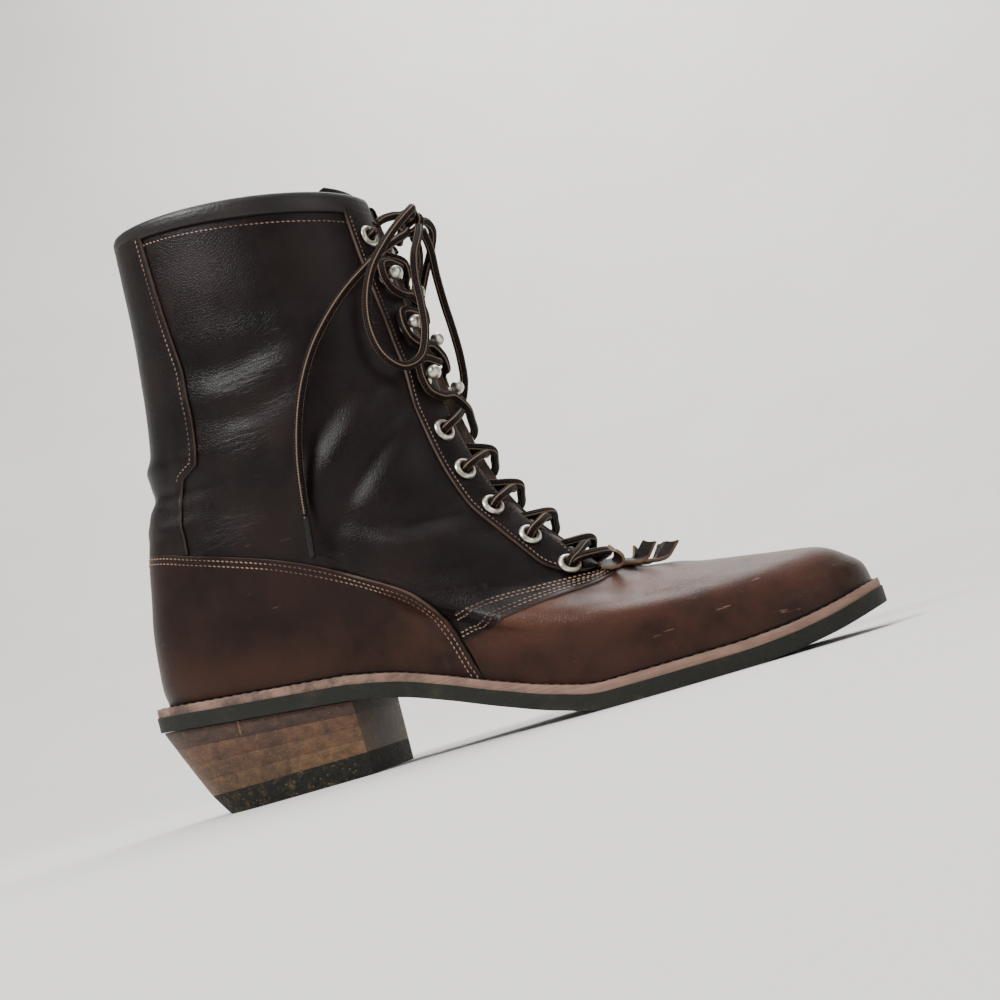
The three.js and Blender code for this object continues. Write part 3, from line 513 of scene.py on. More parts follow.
def sole_bottom(s, t):
    """The lower face, with shallow worn ribs under the forepart and a channel near the edge."""
    x = sole_length * s
    u = np.arccos(np.clip(1 - 2 * s, -1, 1)) / (2 * math.pi)
    inner = outline_edge(u)[:, 1]
    outer = outline_edge(1 - u)[:, 1]
    y = mix(inner, outer, t)
    inside = edge_distance(x, y)
    wave = 0.5 + 0.5 * np.cos(2 * math.pi * (x - rib_start) / rib_pitch)
    shape = np.clip(wave * 1.7 - 0.35, 0, 1)
    worn = 8 * np.sin(y * 0.31) + 5 * np.sin(y * 0.83 + 1)
    ribbed = np.clip((x - rib_start - worn) / 6, 0, 1) * np.clip((inside - 1.4) / 0.8, 0, 1)
    ribs = rib_depth * shape * ribbed
    channel = channel_depth * np.clip(1.6 - np.abs(inside - channel_inset) / channel_half, 0, 1)
    ahead_of_heel = np.clip((x - heel_breast - 6) / 3, 0, 1)
    z = underside(x) + np.maximum(ribs, channel * ahead_of_heel)
    return in_frame(np.stack([x, y, z], axis=1))


outsole = formed_grid("outsole_rubber", sole_columns, 72, sole_bottom, weld=True)
work = bmesh.new()
work.from_mesh(outsole.data)
bmesh.ops.reverse_faces(work, faces=work.faces)
raised = bmesh.ops.extrude_face_region(work, geom=work.faces[:], use_keep_orig=True)["geom"]
raised = [part for part in raised if isinstance(part, bmesh.types.BMVert)]
raised_x = np.array([vertex.co.x for vertex in raised]) * 1000 - boot_shift[0]
for vertex, height in zip(raised, (underside(raised_x) + outsole_thickness) * 0.001):
    vertex.co.z = height
bmesh.ops.recalc_face_normals(work, faces=work.faces)
work.to_mesh(outsole.data)
work.free()
sharp_angle = math.radians(50)
outsole.data.set_sharp_from_angle(angle=sharp_angle)
rubber = Finish("sole_rubber")
rubber_dust = rubber.noise(60, 6, 0.7)
rubber_grit = rubber.noise(1400, 2)
rubber_low = rubber.blend(rubber_grit, rgb(16, 17, 15), rgb(36, 36, 31))
rubber_colour = rubber.blend(rubber_dust.between(0.52, 0.78) * 0.4, rubber_low, rgb(74, 68, 55))
rubber_rough = rubber_dust * 0.25 + 0.55
rubber_height = rubber_grit * 0.5 + rubber.noise(220, 3)
rubber_material = rubber.finish(
    rubber_colour, rubber_rough, rubber_height, 0.00035, {"Specular IOR Level": 0.2},
)
fit(outsole, "sole_rubber", [rubber_material], "outsole")

# Welt.
# A strip of leather that runs all round between the upper and the outsole; its cut edge is
# pinkish tan, its top is stained dark, and a row of heavy thread goes down through it.
welt_thickness = 3.2
welt_strip = 12.5
welt_setback = 0.6
welt_columns = 260


def welt_bottom(x):
    return underside(x) + outsole_thickness + seam


def welt_top(x):
    return welt_bottom(x) + welt_thickness


def welt_section(s, t):
    """Once round the shoe in s and once round the strip's section in t."""
    insets = [0, 0, 0, 0.02, 1, 1, 0]
    heights = [-0.12, 0.12, 0.5, 1, 1, -0.12, -0.12]
    inset = np.interp(t * 6, range(7), insets)
    height = np.interp(t * 6, range(7), heights)
    edge = outline(s, welt_setback + welt_strip * inset)
    z = mix(welt_bottom(edge[:, 0]), welt_top(edge[:, 0]), height)
    return in_frame(np.column_stack([edge, z]))


welt = formed_grid("welt_strip", welt_columns, 6, welt_section, weld=True)
welt.data.flip_normals()
welt_edge = Finish("welt_edge")
welt_x = welt_edge.axes()[0]
edge_fibre = welt_edge.noise(1, 5, 0.6, welt_edge.place(scale=(60, 60, 1500)))
edge_stain = welt_edge.noise(85, 6, 0.7).between(0.36, 0.62)
edge_tan = welt_edge.blend(edge_fibre, rgb(84, 62, 53), rgb(148, 116, 99))
rear_dirt = 1 - welt_x.between(-0.07, 0.02) * 0.7
welt_edge_colour = welt_edge.blend(edge_stain * rear_dirt * 0.9, edge_tan, rgb(58, 42, 36))
welt_edge_material = welt_edge.finish(welt_edge_colour, 0.75, edge_fibre, 0.0003)
welt_dark = Finish("welt_top")
welt_dark_colour = welt_dark.blend(welt_dark.noise(120, 4), rgb(14, 10, 9), rgb(34, 25, 22))
welt_dark_material = welt_dark.finish(welt_dark_colour, 0.6, welt_dark.noise(700, 3), 0.0003)
fit(welt, "welt_leather", [welt_edge_material, welt_dark_material], "welt")
for polygon in welt.data.polygons:
    polygon.material_index = 1 if polygon.normal.z > 0.6 else 0
welt.data.set_sharp_from_angle(angle=sharp_angle)

# Heel.
# Four stacked leather lifts under the seat, cut back under the foot and scratched all round, and a
# speckled rubber lift on the floor; the breast is flat.
heel_rake = 20.0
heel_taper = 5.0
heel_setback = 1.2
rubber_lift = 9.0
lift_gap = 0.05
heel_round = 96
lift_rows = [0.0, 0.08, 0.5, 0.92, 1.0]
lift_insets = [0.12, 0.0, -0.03, 0.0, 0.12]
lift_middle = np.array([heel_breast - 42.0, 0.0])
rear_most = float(outline(np.array([0.0]), heel_setback)[0, 0])


def heel_edge(share, turns):
    """The heel's outline at a share of its height, with its bottom raked and tapered in."""
    edge = outline(turns, heel_setback)
    length = heel_breast - rear_most
    shrink = mix((length - heel_rake) / length, 1, share)
    narrow = mix((heel_width - heel_taper) / heel_width, 1, share)
    x = heel_breast - np.maximum(heel_breast - edge[:, 0], 0) * shrink
    return np.column_stack([x, edge[:, 1] * narrow])


def lift_level(share):
    """Height of a level in the stack above each place along the shoe."""
    return lambda x: mix(rubber_lift, underside(x) - seam, share)


def heel_lift(name, low, high, low_share, high_share, material, node):
    """One lift between two levels, closed, with a slightly proud worn edge."""

    def lift_side(s, t):
        row = np.rint(t * 4).astype(int)
        level = np.array(lift_rows)[row]
        edge = heel_edge(mix(low_share, high_share, level), mix(-breast_turn, breast_turn, s))
        reach = np.linalg.norm(edge - lift_middle, axis=1)
        pull = np.where(edge[:, 0] > heel_breast - 0.5, 0, np.array(lift_insets)[row])
        edge = lift_middle + (edge - lift_middle) * np.reshape(1 - pull / reach, (-1, 1))
        return in_frame(np.column_stack([edge, mix(low(edge[:, 0]), high(edge[:, 0]), level)]))

    piece = formed_grid(name, heel_round - 1, 4, lift_side)
    work = bmesh.new()
    work.from_mesh(piece.data)
    work.verts.ensure_lookup_table()
    for row in range(4):
        start, end = row * heel_round, (row + 1) * heel_round
        across = (start, end - 1, end + heel_round - 1, end)
        work.faces.new([work.verts[k] for k in across])
    bmesh.ops.holes_fill(work, edges=[edge for edge in work.edges if edge.is_boundary], sides=400)
    bmesh.ops.recalc_face_normals(work, faces=work.faces)
    work.to_mesh(piece.data)
    work.free()
    piece.data.set_sharp_from_angle(angle=math.radians(35))
    fit(piece, "heel_rubber" if node == "heel_top_lift" else "stacked_leather", [material], node)


def lift_leather(name, dark, light, stain):
    """Cut leather on edge: mottled and pitted, with scratches and fine lines along the lift."""
    leather = Finish(name)
    mottle = leather.noise(230, 8, 0.78)
    fibre = leather.noise(1, 5, 0.65, leather.place(scale=(60, 60, 1400)))
    blotch = leather.noise(42, 6, 0.7)
    specks = leather.cells(620, feature="F1")
    scratch = leather.noise(1, 4, 0.6, leather.place(scale=(420, 420, 50), turn=(0.5, 0.8, 0.2)))
    colour = leather.blend(mottle.between(0.3, 0.7), dark, light)
    colour = leather.blend(fibre.between(0.52, 0.72) * 0.25, colour, rgb(42, 28, 20))
    colour = leather.blend(blotch.between(0.44, 0.66) * stain, colour, rgb(34, 22, 17))
    colour = leather.blend((1 - specks.between(0.04, 0.16)) * 0.7, colour, rgb(150, 118, 80))
    colour = leather.blend(scratch.between(0.64, 0.7) * 0.4, colour, rgb(140, 106, 72))
    height = mottle * 0.7 + fibre * 0.5 + scratch.between(0.6, 0.72) * 0.4
    return leather.finish(colour, mottle * 0.2 + 0.5, height, 0.0006, {"Specular IOR Level": 0.35})


lift_tones = [
    (rgb(56, 39, 25), rgb(104, 76, 48), 0.5),
    (rgb(54, 36, 24), rgb(98, 69, 45), 0.5),
    (rgb(52, 33, 23), rgb(94, 64, 43), 0.55),
    (rgb(36, 24, 19), rgb(68, 45, 34), 0.7),
]
share_of_rubber = rubber_lift / heel_height
top_rubber = Finish("top_lift_rubber")
speck = top_rubber.cells(520, feature="F1")
crumb = top_rubber.noise(260, 8, 0.75)
top_colour = top_rubber.blend(crumb.between(0.5, 0.72) * 0.6, rgb(24, 23, 20), rgb(98, 82, 56))
top_colour = top_rubber.blend(1 - speck.between(0.05, 0.2), top_colour, rgb(110, 92, 64))
top_material = top_rubber.finish(
    top_colour, crumb * 0.2 + 0.65, crumb + speck, 0.0004, {"Specular IOR Level": 0.2},
)
heel_lift(
    "top_lift_rubber", lambda x: 0 * x, lambda x: 0 * x + rubber_lift - lift_gap, 0, share_of_rubber,
    top_material, "heel_top_lift",
)
for lift, (dark, light, stain) in enumerate(lift_tones):
    low, high = lift / 4, (lift + 1) / 4
    gap = lift_gap if lift < 3 else 0
    heel_lift(
        f"stacked_lift_{lift + 1}", lift_level(low), lambda x, high=high, gap=gap: lift_level(high)(x) - gap,
        mix(share_of_rubber, 1, low), mix(share_of_rubber, 1, high),
        lift_leather(f"lift_leather_{lift + 1}", dark, light, stain), f"heel_lift_{lift + 1}",
    )

# Insole.
# The board that the foot stands on, covered in dark leather; it keeps its solid.
lining = Finish("lining_leather")
lining_wear = lining.noise(35, 5, 0.6)
lining_colour = lining.blend(lining_wear, rgb(46, 34, 28), rgb(84, 64, 52))
lining_material = lining.finish(lining_colour, 0.75, lining.noise(900, 3), 0.0003)
for slot in bpy.data.objects["insole"].material_slots:
    slot.material = lining_material

# Upper.
# One hollow wall of dark oiled leather, lasted over the foot and open at the collar and down the
# front; years of wear have pressed soft folds round the ankle and across the instep.
feather_inset = 4.5
heel_reveal = 3.5
wall = 2.2
collar_height = 244.0
collar_drop = 16.0
back_lean = 28.5
instep_height = 52.0
throat_from_toe = 96.0
shaft_depth = 110.0
shaft_width = 84.0
throat_gap = 30.0
collar_gap = 12.0
throat_section = 6
collar_section = 12
binding_height = 5.0
section_lean = [0, -0.03, 0, 0.05, 0.14, 0.25, 0.41, 0.58, 0.74, 0.86, 0.93, 0.97, 1]
section_up = [0, 0.04, 0.095, 0.16, 0.225, 0.3, 0.375, 0.46, 0.555, 0.66, 0.78, 0.895, 1]
section_reach = [0, 0.012, 0.07, 0.16, 0.39, 0.7, 1, 1.27, 1.56, 1.75, 1.87, 1.95, 2]
section_rise = [0, 0.18, 0.34, 0.49, 0.605, 0.76, 1, 1.09, 1.215, 1.375, 1.6, 1.81, 2]
section_hug = [1, 1, 1, 1, 1, 0.95, 0.8, 0.6, 0.4, 0.25, 0.12, 0.05, 0]
section_leg = [0, 0, 0, 0, 0.06, 0.18, 0.34, 0.52, 0.7, 0.85, 0.95, 1, 1]
section_heel = [1, 1.04, 1.05, 1.04, 1.02, 1, 0.96, 0.96, 1, 1, 1, 1, 1]
section_waist = [1, 1.03, 1.05, 1.08, 1.12, 1.15, 1.18, 1.2, 1.2, 1.2, 1.2, 1.2, 1.2]
section_ball = [1, 1.02, 1.02, 1, 0.95, 0.87, 0.81, 0.78, 0.76, 0.76, 0.76, 0.76, 0.76]
section_toe = [1, 1, 0.97, 0.93, 0.9, 0.84, 0.79, 0.75, 0.7, 0.7, 0.7, 0.7, 0.7]
slot_places = [throat_section, 8, 9, 10, collar_section]
slot_close = [0, 0.06, 0.35, 0.8, 1]


def feather(u):
    """The line where the upper meets the welt."""
    u = np.asarray(u, float)
    inset = feather_inset + heel_reveal * np.maximum(0, np.cos(2 * math.pi * u)) ** 4
    edge = outline(u, inset)
    return np.column_stack([edge, welt_top(edge[:, 0]) + seam])


feather_back = feather([0.0])[0]
feather_toe = feather([0.5])[0]
collar_back = (feather_back[0] + back_lean, collar_height)
throat = (sole_length - throat_from_toe, instep_height)
collar_front = (collar_back[0] + shaft_depth, collar_height - collar_drop)


def surface(u, v):
    """The upper's outer surface: u runs round as on the sole, v from 0 at the welt to 12 at the collar."""
    u = np.asarray(u, float)
    low = feather(u)
    share = (low[:, 0] - feather_back[0]) / (feather_toe[0] - feather_back[0])
    tables = (section_lean, section_up, section_reach, section_rise, section_leg, section_hug)
    lean, up_back, reach, rise, leg, hug = [np.reshape(table, (-1, 1)) for table in tables]
    back_x = mix(feather_back[0], collar_back[0], lean)
    back_z = mix(feather_back[2], collar_back[1], up_back)
    foot_x, foot_z = mix(feather_toe[0], throat[0], reach), mix(feather_toe[2], throat[1], rise)
    shin_x, shin_z = [mix(throat[k], collar_front[k], (reach, rise)[k] - 1) for k in (0, 1)]
    front_x = np.where(reach < 1, foot_x, shin_x)
    front_z = np.where(rise < 1, foot_z, shin_z)
    width_rows = zip(section_heel, section_waist, section_ball, section_toe)
    place = np.clip(share, 0.1, 0.94)
    stretch = np.array([along([0.1, 0.36, 0.72, 0.94], row, place) for row in width_rows])
    x = mix(back_x, front_x, share)
    y = mix(low[:, 1] * stretch, -shaft_width / 2 * np.sin(2 * math.pi * u), leg)
    z = mix(back_z, front_z, share) + hug * (low[:, 2] - mix(feather_back[2], feather_toe[2], share))
    levels = np.arange(13)
    return np.column_stack([along(levels, x, v), along(levels, y, v), along(levels, z, v)])


# Folds as routes in millimetres, with a width and a depth; a negative depth is a ridge
folds = [
    ([(98, -40, 90), (117, -41, 109), (135, -35, 126), (152, -22, 140)], 6.0, 2.8),
    ([(92, -41, 100), (108, -43, 117), (128, -39, 135), (148, -26, 150)], 6.0, -1.6),
    ([(88, -42, 112), (104, -43, 130), (124, -40, 147), (146, -26, 163)], 6.5, 1.4),
    ([(112, -41, 96), (137, -38, 90), (160, -28, 91)], 5.0, 2.2),
    ([(118, -42, 85), (142, -38, 79), (166, -29, 79)], 4.5, -1.3),
    ([(128, -42, 72), (152, -38, 67), (172, -31, 68)], 4.0, 1.2),
    ([(66, -39, 129), (40, -29, 131), (28, -14, 133), (25, 2, 134), (30, 18, 132), (50, 33, 128)], 4.0, 2.6),
    ([(66, -39, 141), (42, -30, 143), (29, -13, 145), (27, 4, 146), (34, 22, 144), (56, 36, 141)], 4, -1.7),
    ([(54, -35, 116), (34, -26, 118), (24, -10, 120), (23, 8, 120), (32, 24, 118)], 3.5, -1.4),
    ([(62, -38, 154), (86, -43, 151), (114, -42, 158)], 5.0, 1.2),
    ([(60, -38, 163), (84, -43, 160), (110, -43, 166)], 4.5, -0.9),
    ([(58, -38, 176), (82, -43, 171), (112, -43, 176)], 6.5, 1.3),
    ([(78, -42, 196), (100, -43, 188), (124, -38, 194)], 8.0, 0.9),
    ([(98, 40, 93), (118, 41, 110), (137, 35, 125), (150, 25, 139)], 6.5, 2.4),
    ([(94, 42, 106), (114, 43, 122), (135, 37, 138)], 5.5, -1.5),
    ([(108, 42, 90), (136, 39, 84), (162, 29, 85)], 5.0, 1.8),
    ([(66, 40, 150), (90, 43, 158), (114, 43, 154)], 6.0, 1.2),
    ([(62, 39, 168), (88, 43, 176), (116, 42, 170)], 7.0, 1.0),
    ([(205, -38, 34), (214, -18, 49), (216, 2, 51), (212, 22, 48), (204, 40, 34)], 5.0, 0.9),
    ([(222, -36, 32), (228, -16, 46), (229, 4, 47), (224, 24, 44)], 5.0, -0.6),
]


def relief(spots):
    """How far the folds lower or raise points of the surface."""
    total = np.zeros(len(spots))
    for route, width, depth in folds:
        route = np.asarray(route, float)
        nearest = np.full(len(spots), 1e9)
        share = np.zeros(len(spots))
        for k in range(len(route) - 1):
            reach = route[k + 1] - route[k]
            t = np.clip((spots - route[k]) @ reach / reach.dot(reach), 0, 1)
            gap = np.linalg.norm(spots - route[k] - t[:, None] * reach, axis=1)
            closer = gap < nearest
            nearest = np.where(closer, gap, nearest)
            share = np.where(closer, (k + t) / (len(route) - 1), share)
        fade = np.sin(math.pi * np.clip(share, 0.06, 0.94)) ** 0.6
        total -= depth * fade * np.exp(-(nearest / width) ** 2)
    x, y, z = spots.T
    soft = np.sin(x * 0.061 + z * 0.043 + 1.3) * np.sin(z * 0.052 - y * 0.07 + 0.4)
    return total + 0.5 * soft * np.clip((z - 60) / 60, 0, 1) * np.clip((232 - z) / 30, 0, 1)


def outward(u, v):
    """The direction straight out of the surface."""
    around = surface(u + 0.004, v) - surface(u - 0.004, v)
    upward = surface(u, v + 0.01) - surface(u, v)
    normal = np.cross(around, upward)
    return normal / np.linalg.norm(normal, axis=1)[:, None]


def skin(u, v, offset):
    """Points a distance outside the worn surface."""
    u, v = np.broadcast_arrays(np.asarray(u, float), np.asarray(v, float))
    spots = surface(u, v)
    return spots + outward(u, v) * np.reshape(relief(spots) + offset, (-1, 1))


def beside(v, across):
    """Where u is, at a distance across the front from its ridge; the inner side is negative."""
    v, across = np.broadcast_arrays(np.asarray(v, float), np.asarray(across, float))
    steps = 70
    turns = 0.5 + np.sign(across)[:, None] * np.linspace(0, 0.24, steps)
    spots = surface(turns.ravel(), np.repeat(v, steps)).reshape(len(v), steps, 3)
    steps_taken = np.linalg.norm(np.diff(spots, axis=1), axis=2)
    walked = np.hstack([np.zeros((len(v), 1)), np.cumsum(steps_taken, axis=1)])
    return np.array([np.interp(abs(a), w, t) for a, w, t in zip(across, walked, turns)])


def slot_half(v):
    """Half the width of the lacing slot, rounded at the throat."""
    v = np.asarray(v, float)
    close = along(slot_places, slot_close, np.clip(v, throat_section, collar_section))
    round_end = np.sqrt(np.clip(1 - (1 - (v - 5.97) / 0.22) ** 2, 0, 1))
    return mix(throat_gap, collar_gap, close) / 2 * np.where(v > 6.19, 1, np.where(v < 5.97, 0, round_end))


level_table = np.hstack([np.linspace(0, 5.9, 60), np.linspace(5.97, 6.3, 12), np.linspace(6.38, 12, 90)])
slot_table = slot_half(level_table)
slot_inner, slot_outer = [
    np.where(slot_table > 0, beside(level_table, side * (slot_table + 1e-6)), 0.5) for side in (-1, 1)
]


def quarter_turn(v, share):
    """Where u is, on one level, at a share of the way round from the slot's outer edge to its inner one."""
    inner = np.interp(v, level_table, slot_inner)
    outer = np.interp(v, level_table, slot_outer)
    return mix(outer, inner + 1, share)


def quarter_place(s, t):
    v = level_table[np.rint(t * (len(level_table) - 1)).astype(int)]
    return in_frame(skin(quarter_turn(v, s), v, 0))


def dress(piece, thickness, slot_name, materials, *nodes, rim=1, inner=0, soften=0.35, offset=-1):
    """Gives a formed panel its thickness, worn edges, finish and place in the model."""
    fit(piece, slot_name, materials, *nodes)
    solid = piece.modifiers.new("thickness", "SOLIDIFY")
    solid.thickness = thickness * 0.001
    solid.offset = offset
    solid.material_offset = inner
    solid.material_offset_rim = rim
    if soften:
        edge = piece.modifiers.new("worn_edge", "BEVEL")
        edge.width = soften * 0.001
        edge.segments = 2
        edge.limit_method = "ANGLE"
        edge.angle_limit = math.radians(55)


# Patches of fine wrinkles: a middle and three radii, in metres
wrinkle_patches = [
    ((-0.06, -0.04, 0.161), (0.03, 0.03, 0.016)),
    ((-0.072, -0.038, 0.14), (0.016, 0.03, 0.01)),
    ((-0.088, -0.032, 0.108), (0.026, 0.03, 0.012)),
    ((0.0, -0.03, 0.1), (0.024, 0.03, 0.014)),
    ((-0.06, 0.043, 0.15), (0.03, 0.03, 0.02)),
]


def oiled_leather(name, dark, middle, worn, highlight_band, shine, shaded_foot=0.0):
    """Smooth grain leather: pores, soft mottling, wrinkles, scuffs, a painted highlight band and a painted
    shade along the foot.
    """
    leather = Finish(name)
    x, y, z = leather.axes()
    mottle = leather.noise(26, 5, 0.6)
    pores = leather.cells(900)
    grain = leather.noise(520, 4, 0.6)
    crinkle = leather.noise(1, 5, 0.62, leather.place(scale=(75, 75, 420), turn=(0, 0.12, 0)))
    wrinkled = leather.near(*wrinkle_patches[0])
    for patch in wrinkle_patches[1:]:
        wrinkled = wrinkled + leather.near(*patch)
    scuff = leather.noise(1, 4, 0.65, leather.place(scale=(240, 240, 70), turn=(0.4, 0.5, 0.3)))
    nick = leather.noise(1, 3, 0.6, leather.place(scale=(60, 60, 420), turn=(0.2, 0.9, 0.1)))
    colour = leather.blend(mottle.between(0.32, 0.7), dark, middle)
    # Painted highlight: a lighter band along a sloping line, broken up by the mottling, in the scuffs' worn
    # colour. On the foot leather it runs low across the counter and vamp; on the shaft and fringe it lies
    # below the floor.
    level = z - highlight_band[0] - x * highlight_band[2]
    highlight_mask = level.between(-highlight_band[1], 0.0) * (1 - level.between(0.0, highlight_band[1]))
    colour = leather.blend(highlight_mask * mottle.between(0.25, 0.6) * 0.8, colour, worn)
    colour = leather.blend(scuff.between(0.66, 0.74) * 0.3, colour, worn)
    colour = leather.blend(nick.between(0.69, 0.75) * (0.5 if shaded_foot else 0.12), colour, rgb(140, 108, 90))
    if shaded_foot:
        colour = leather.blend((1 - x.between(-0.05, 0.02)) * 0.6, colour, rgb(20, 11, 10))
        # Painted shade: each foot-leather panel turns near black along its bottom edge at the welt, over the
        # lowest few hundredths of its height.
        colour = leather.blend(1 - leather.uv()[1].between(shaded_foot * 0.4, shaded_foot), colour, rgb(8, 6, 5))
    height = pores.between(0.0, 0.16) * 0.16 + grain * 0.22 + crinkle * wrinkled * 3.4
    rough = mottle * 0.2 + shine + scuff.between(0.6, 0.75) * 0.15
    return leather.finish(colour, rough, height, 0.00022, {"Specular IOR Level": 0.14})


shaft_leather = oiled_leather(
    "shaft_leather", rgb(10, 6, 6), rgb(26, 16, 16), rgb(50, 34, 29), (-0.05, 0.02, 0.0), 0.27,
)
cut_edge = Finish("cut_edge")
cut_edge_colour = cut_edge.blend(cut_edge.noise(300), rgb(34, 24, 21), rgb(92, 72, 61))
cut_edge_material = cut_edge.finish(cut_edge_colour, 0.8)
upper = formed_grid("quarters", 230, len(level_table) - 1, quarter_place, weld=True)
upper_materials = [shaft_leather, lining_material, cut_edge_material]
dress(upper, wall, "shaft_leather", upper_materials, "upper", rim=2, inner=1)

# Counter.
# A stiff panel of redder, worn leather wrapped round the heel and sewn over the quarters with two
# rows of thread round its edge.
panel_top = 1.5
panel_thickness = 1.4
counter_top_x = [-6, 15, 27.9, 42.9, 60, 78.9, 93.9, 113.1, 128.1, 135, 140.1, 142.9, 144.8]
counter_top_z = [115.9, 112.2, 109.1, 103.9, 98.1, 91.0, 83.9, 73.0, 63.0, 54.9, 43.9, 33.0, 25.0]


def meeting(u, inside, low=0.0, high=12.0):
    """The level at which each column of the surface leaves the region where inside is positive."""
    low = np.full(len(u), low)
    high = np.full(len(u), high)
    for _ in range(22):
        middle = (low + high) / 2
        spots = surface(u, middle)
        within = inside(spots[:, 0], spots[:, 2]) > 0
        low = np.where(within, middle, low)
        high = np.where(within, high, middle)
    return (low + high) / 2


def turn_at(x, v):
    """Where u is, on the inner side, at a place along the shoe on one level."""
    turns = np.linspace(0.0, 0.5, 400)
    return float(np.interp(x, surface(turns, np.full(400, v))[:, 0], turns))


def under_counter_top(x, z):
    """More than 0 below the counter's top edge as it shows from the side."""
    return along(counter_top_x, counter_top_z, x) - z


def shares_of(spots):
    """How far along a path each of its points lies, from 0 to 1."""
    walked = walked_to(spots)
    return walked / walked[-1]


def seen_at(x, z, u, v):
    """Places of the surface that show at x and z from the side, found from places near them."""
    for _ in range(16):
        here = surface(u, v)
        around = (surface(u + 0.0005, v) - here) / 0.0005
        upward = (surface(u, v + 0.005) - here) / 0.005
        miss_x, miss_z = x - here[:, 0], z - here[:, 2]
        spread = around[:, 0] * upward[:, 2] - around[:, 2] * upward[:, 0]
        u = u + np.clip((miss_x * upward[:, 2] - miss_z * upward[:, 0]) / spread, -0.004, 0.004)
        v = v + np.clip((miss_z * around[:, 0] - miss_x * around[:, 2]) / spread, -0.25, 0.25)
    return u, v


counter_foot_turn = turn_at(145.6, 0.0)
top_turns = np.linspace(0.0, 0.225, 80)
top_levels = meeting(top_turns, under_counter_top)
top_end = surface(top_turns[-1:], top_levels[-1:])[0]
front_x = np.linspace(top_end[0], counter_top_x[-2] + 0.9, 400)
front_z = along(counter_top_x, counter_top_z, front_x)
front_walk = shares_of(np.column_stack([front_x, front_z]))
front_even = np.linspace(0.02, 1, 80)
front_x, front_z = [np.interp(front_even, front_walk, line) for line in (front_x, front_z)]
guess_z = [28, 40, 60, 74, top_end[2]]
guess_turns = np.interp(front_z, guess_z, [0.2444, 0.2446, 0.2436, 0.2415, top_turns[-1]])
guess_levels = np.interp(front_z, guess_z, [1.2, 2.2, 4.2, 5.5, top_levels[-1]])
front_turns, front_levels = seen_at(front_x, front_z, guess_turns, guess_levels)
half_turns = np.concatenate([top_turns, front_turns])
half_levels = np.concatenate([top_levels, front_levels])
counter_turns = np.concatenate([-half_turns[:0:-1], half_turns])
counter_levels = np.concatenate([half_levels[:0:-1], half_levels])
column_bend = 2.5
counter_walk = shares_of(surface(counter_turns, counter_levels))


def counter_spot(s, t):
    """The place on the surface of a share round and up the counter."""
    high = np.interp(s, counter_walk, counter_turns)
    low = mix(-counter_foot_turn, counter_foot_turn, s)
    return mix(low, high, t ** column_bend), t * np.interp(s, counter_walk, counter_levels)


def sewn_panel(name, columns, rows, spot, slot_name, leather, node, flip=False):
    """A cut panel on the quarters, whose places are given as u and v for s and t from 0 to 1."""
    piece = formed_grid(name, columns, rows, lambda s, t: in_frame(skin(*spot(s, t), panel_top)))
    if flip:
        piece.data.flip_normals()
    dress(piece, panel_thickness, slot_name, [leather, cut_edge_material], node)


foot_leather = oiled_leather(
    "foot_leather", rgb(22, 12, 10), rgb(52, 30, 24), rgb(76, 47, 35), (0.045, 0.022, -0.05), 0.25, 0.035,
)
sewn_panel("counter_panel", 200, 60, counter_spot, "foot_leather", foot_leather, "counter")

# Vamp.
# The panel over the toes and the ball, redder and more worn than the quarters, that butts on the
# counter at each side and ends in the throat under the kiltie.
vamp_top_x = [141.6, 150, 158, 171, 186, 197, 204.9]
vamp_top_z = [40.2, 41.9, 43.4, 44.4, 45.4, 46.1, 48.8]


def under_vamp_top(x, z):
    """More than 0 below the vamp's top edge, and everywhere ahead of the throat."""
    return np.maximum(along(vamp_top_x, vamp_top_z, x) - z, x - vamp_top_x[-1])


vamp_foot_turn = turn_at(145.9, 0.0)
vamp_corner_turn = turn_at(141.6, 2.5)
vamp_turns = np.linspace(vamp_corner_turn, 1 - vamp_corner_turn, 241)
vamp_levels = np.minimum(meeting(vamp_turns, under_vamp_top), 5.96)
vamp_walk = shares_of(surface(vamp_turns, vamp_levels))


def vamp_spot(s, t):
    low = mix(vamp_foot_turn, 1 - vamp_foot_turn, s)
    high = np.interp(s, vamp_walk, vamp_turns)
    return mix(low, high, t), t * np.interp(high, vamp_turns, vamp_levels)


sewn_panel("vamp_panel", 260, 90, vamp_spot, "foot_leather", foot_leather, "vamp")

# Backstay.
# A strip of the dark leather that covers the back seam from the counter up to the binding, wider at
# its foot, and sewn down along both edges.
backstay_x = [33.6, 39.9, 42.9, 47.1, 56.1, 57.9, 60, 60.9, 60, 58.2, 58.2]
backstay_z = [107.8, 121.0, 129.1, 134.9, 138.1, 143.0, 158.6, 178.1, 192.8, 231.8, 256]
collar_rows = collar_section - throat_section
binding_level = collar_section - binding_height / (collar_height - instep_height) * collar_rows
stay_levels = np.linspace(7.0, binding_level, 60)
stay_turns = []
for stay_level in stay_levels:
    turns = np.linspace(0.0, 0.24, 200)
    spots = surface(turns, np.full(200, stay_level))
    ahead = spots[:, 0] - np.interp(spots[:, 2], backstay_z, backstay_x)
    stay_turns.append(float(np.interp(0.0, ahead, turns)))
stay_turns = np.array(stay_turns)


def backstay_spot(s, t):
    side = 1 - 2 * s
    low = np.interp(np.abs(side) * 0.075, top_turns, top_levels) + 0.02
    v = mix(low, binding_level - 0.02, t)
    return side * np.interp(v, stay_levels, stay_turns), v


sewn_panel("backstay_strip", 70, 120, backstay_spot, "shaft_leather", shaft_leather, "backstay", True)

# Eyestays.
# The two facings beside the lacing slot, narrowing to a point at the throat, that carry the
# eyelets and the hooks.
eyestay_width = 17.0


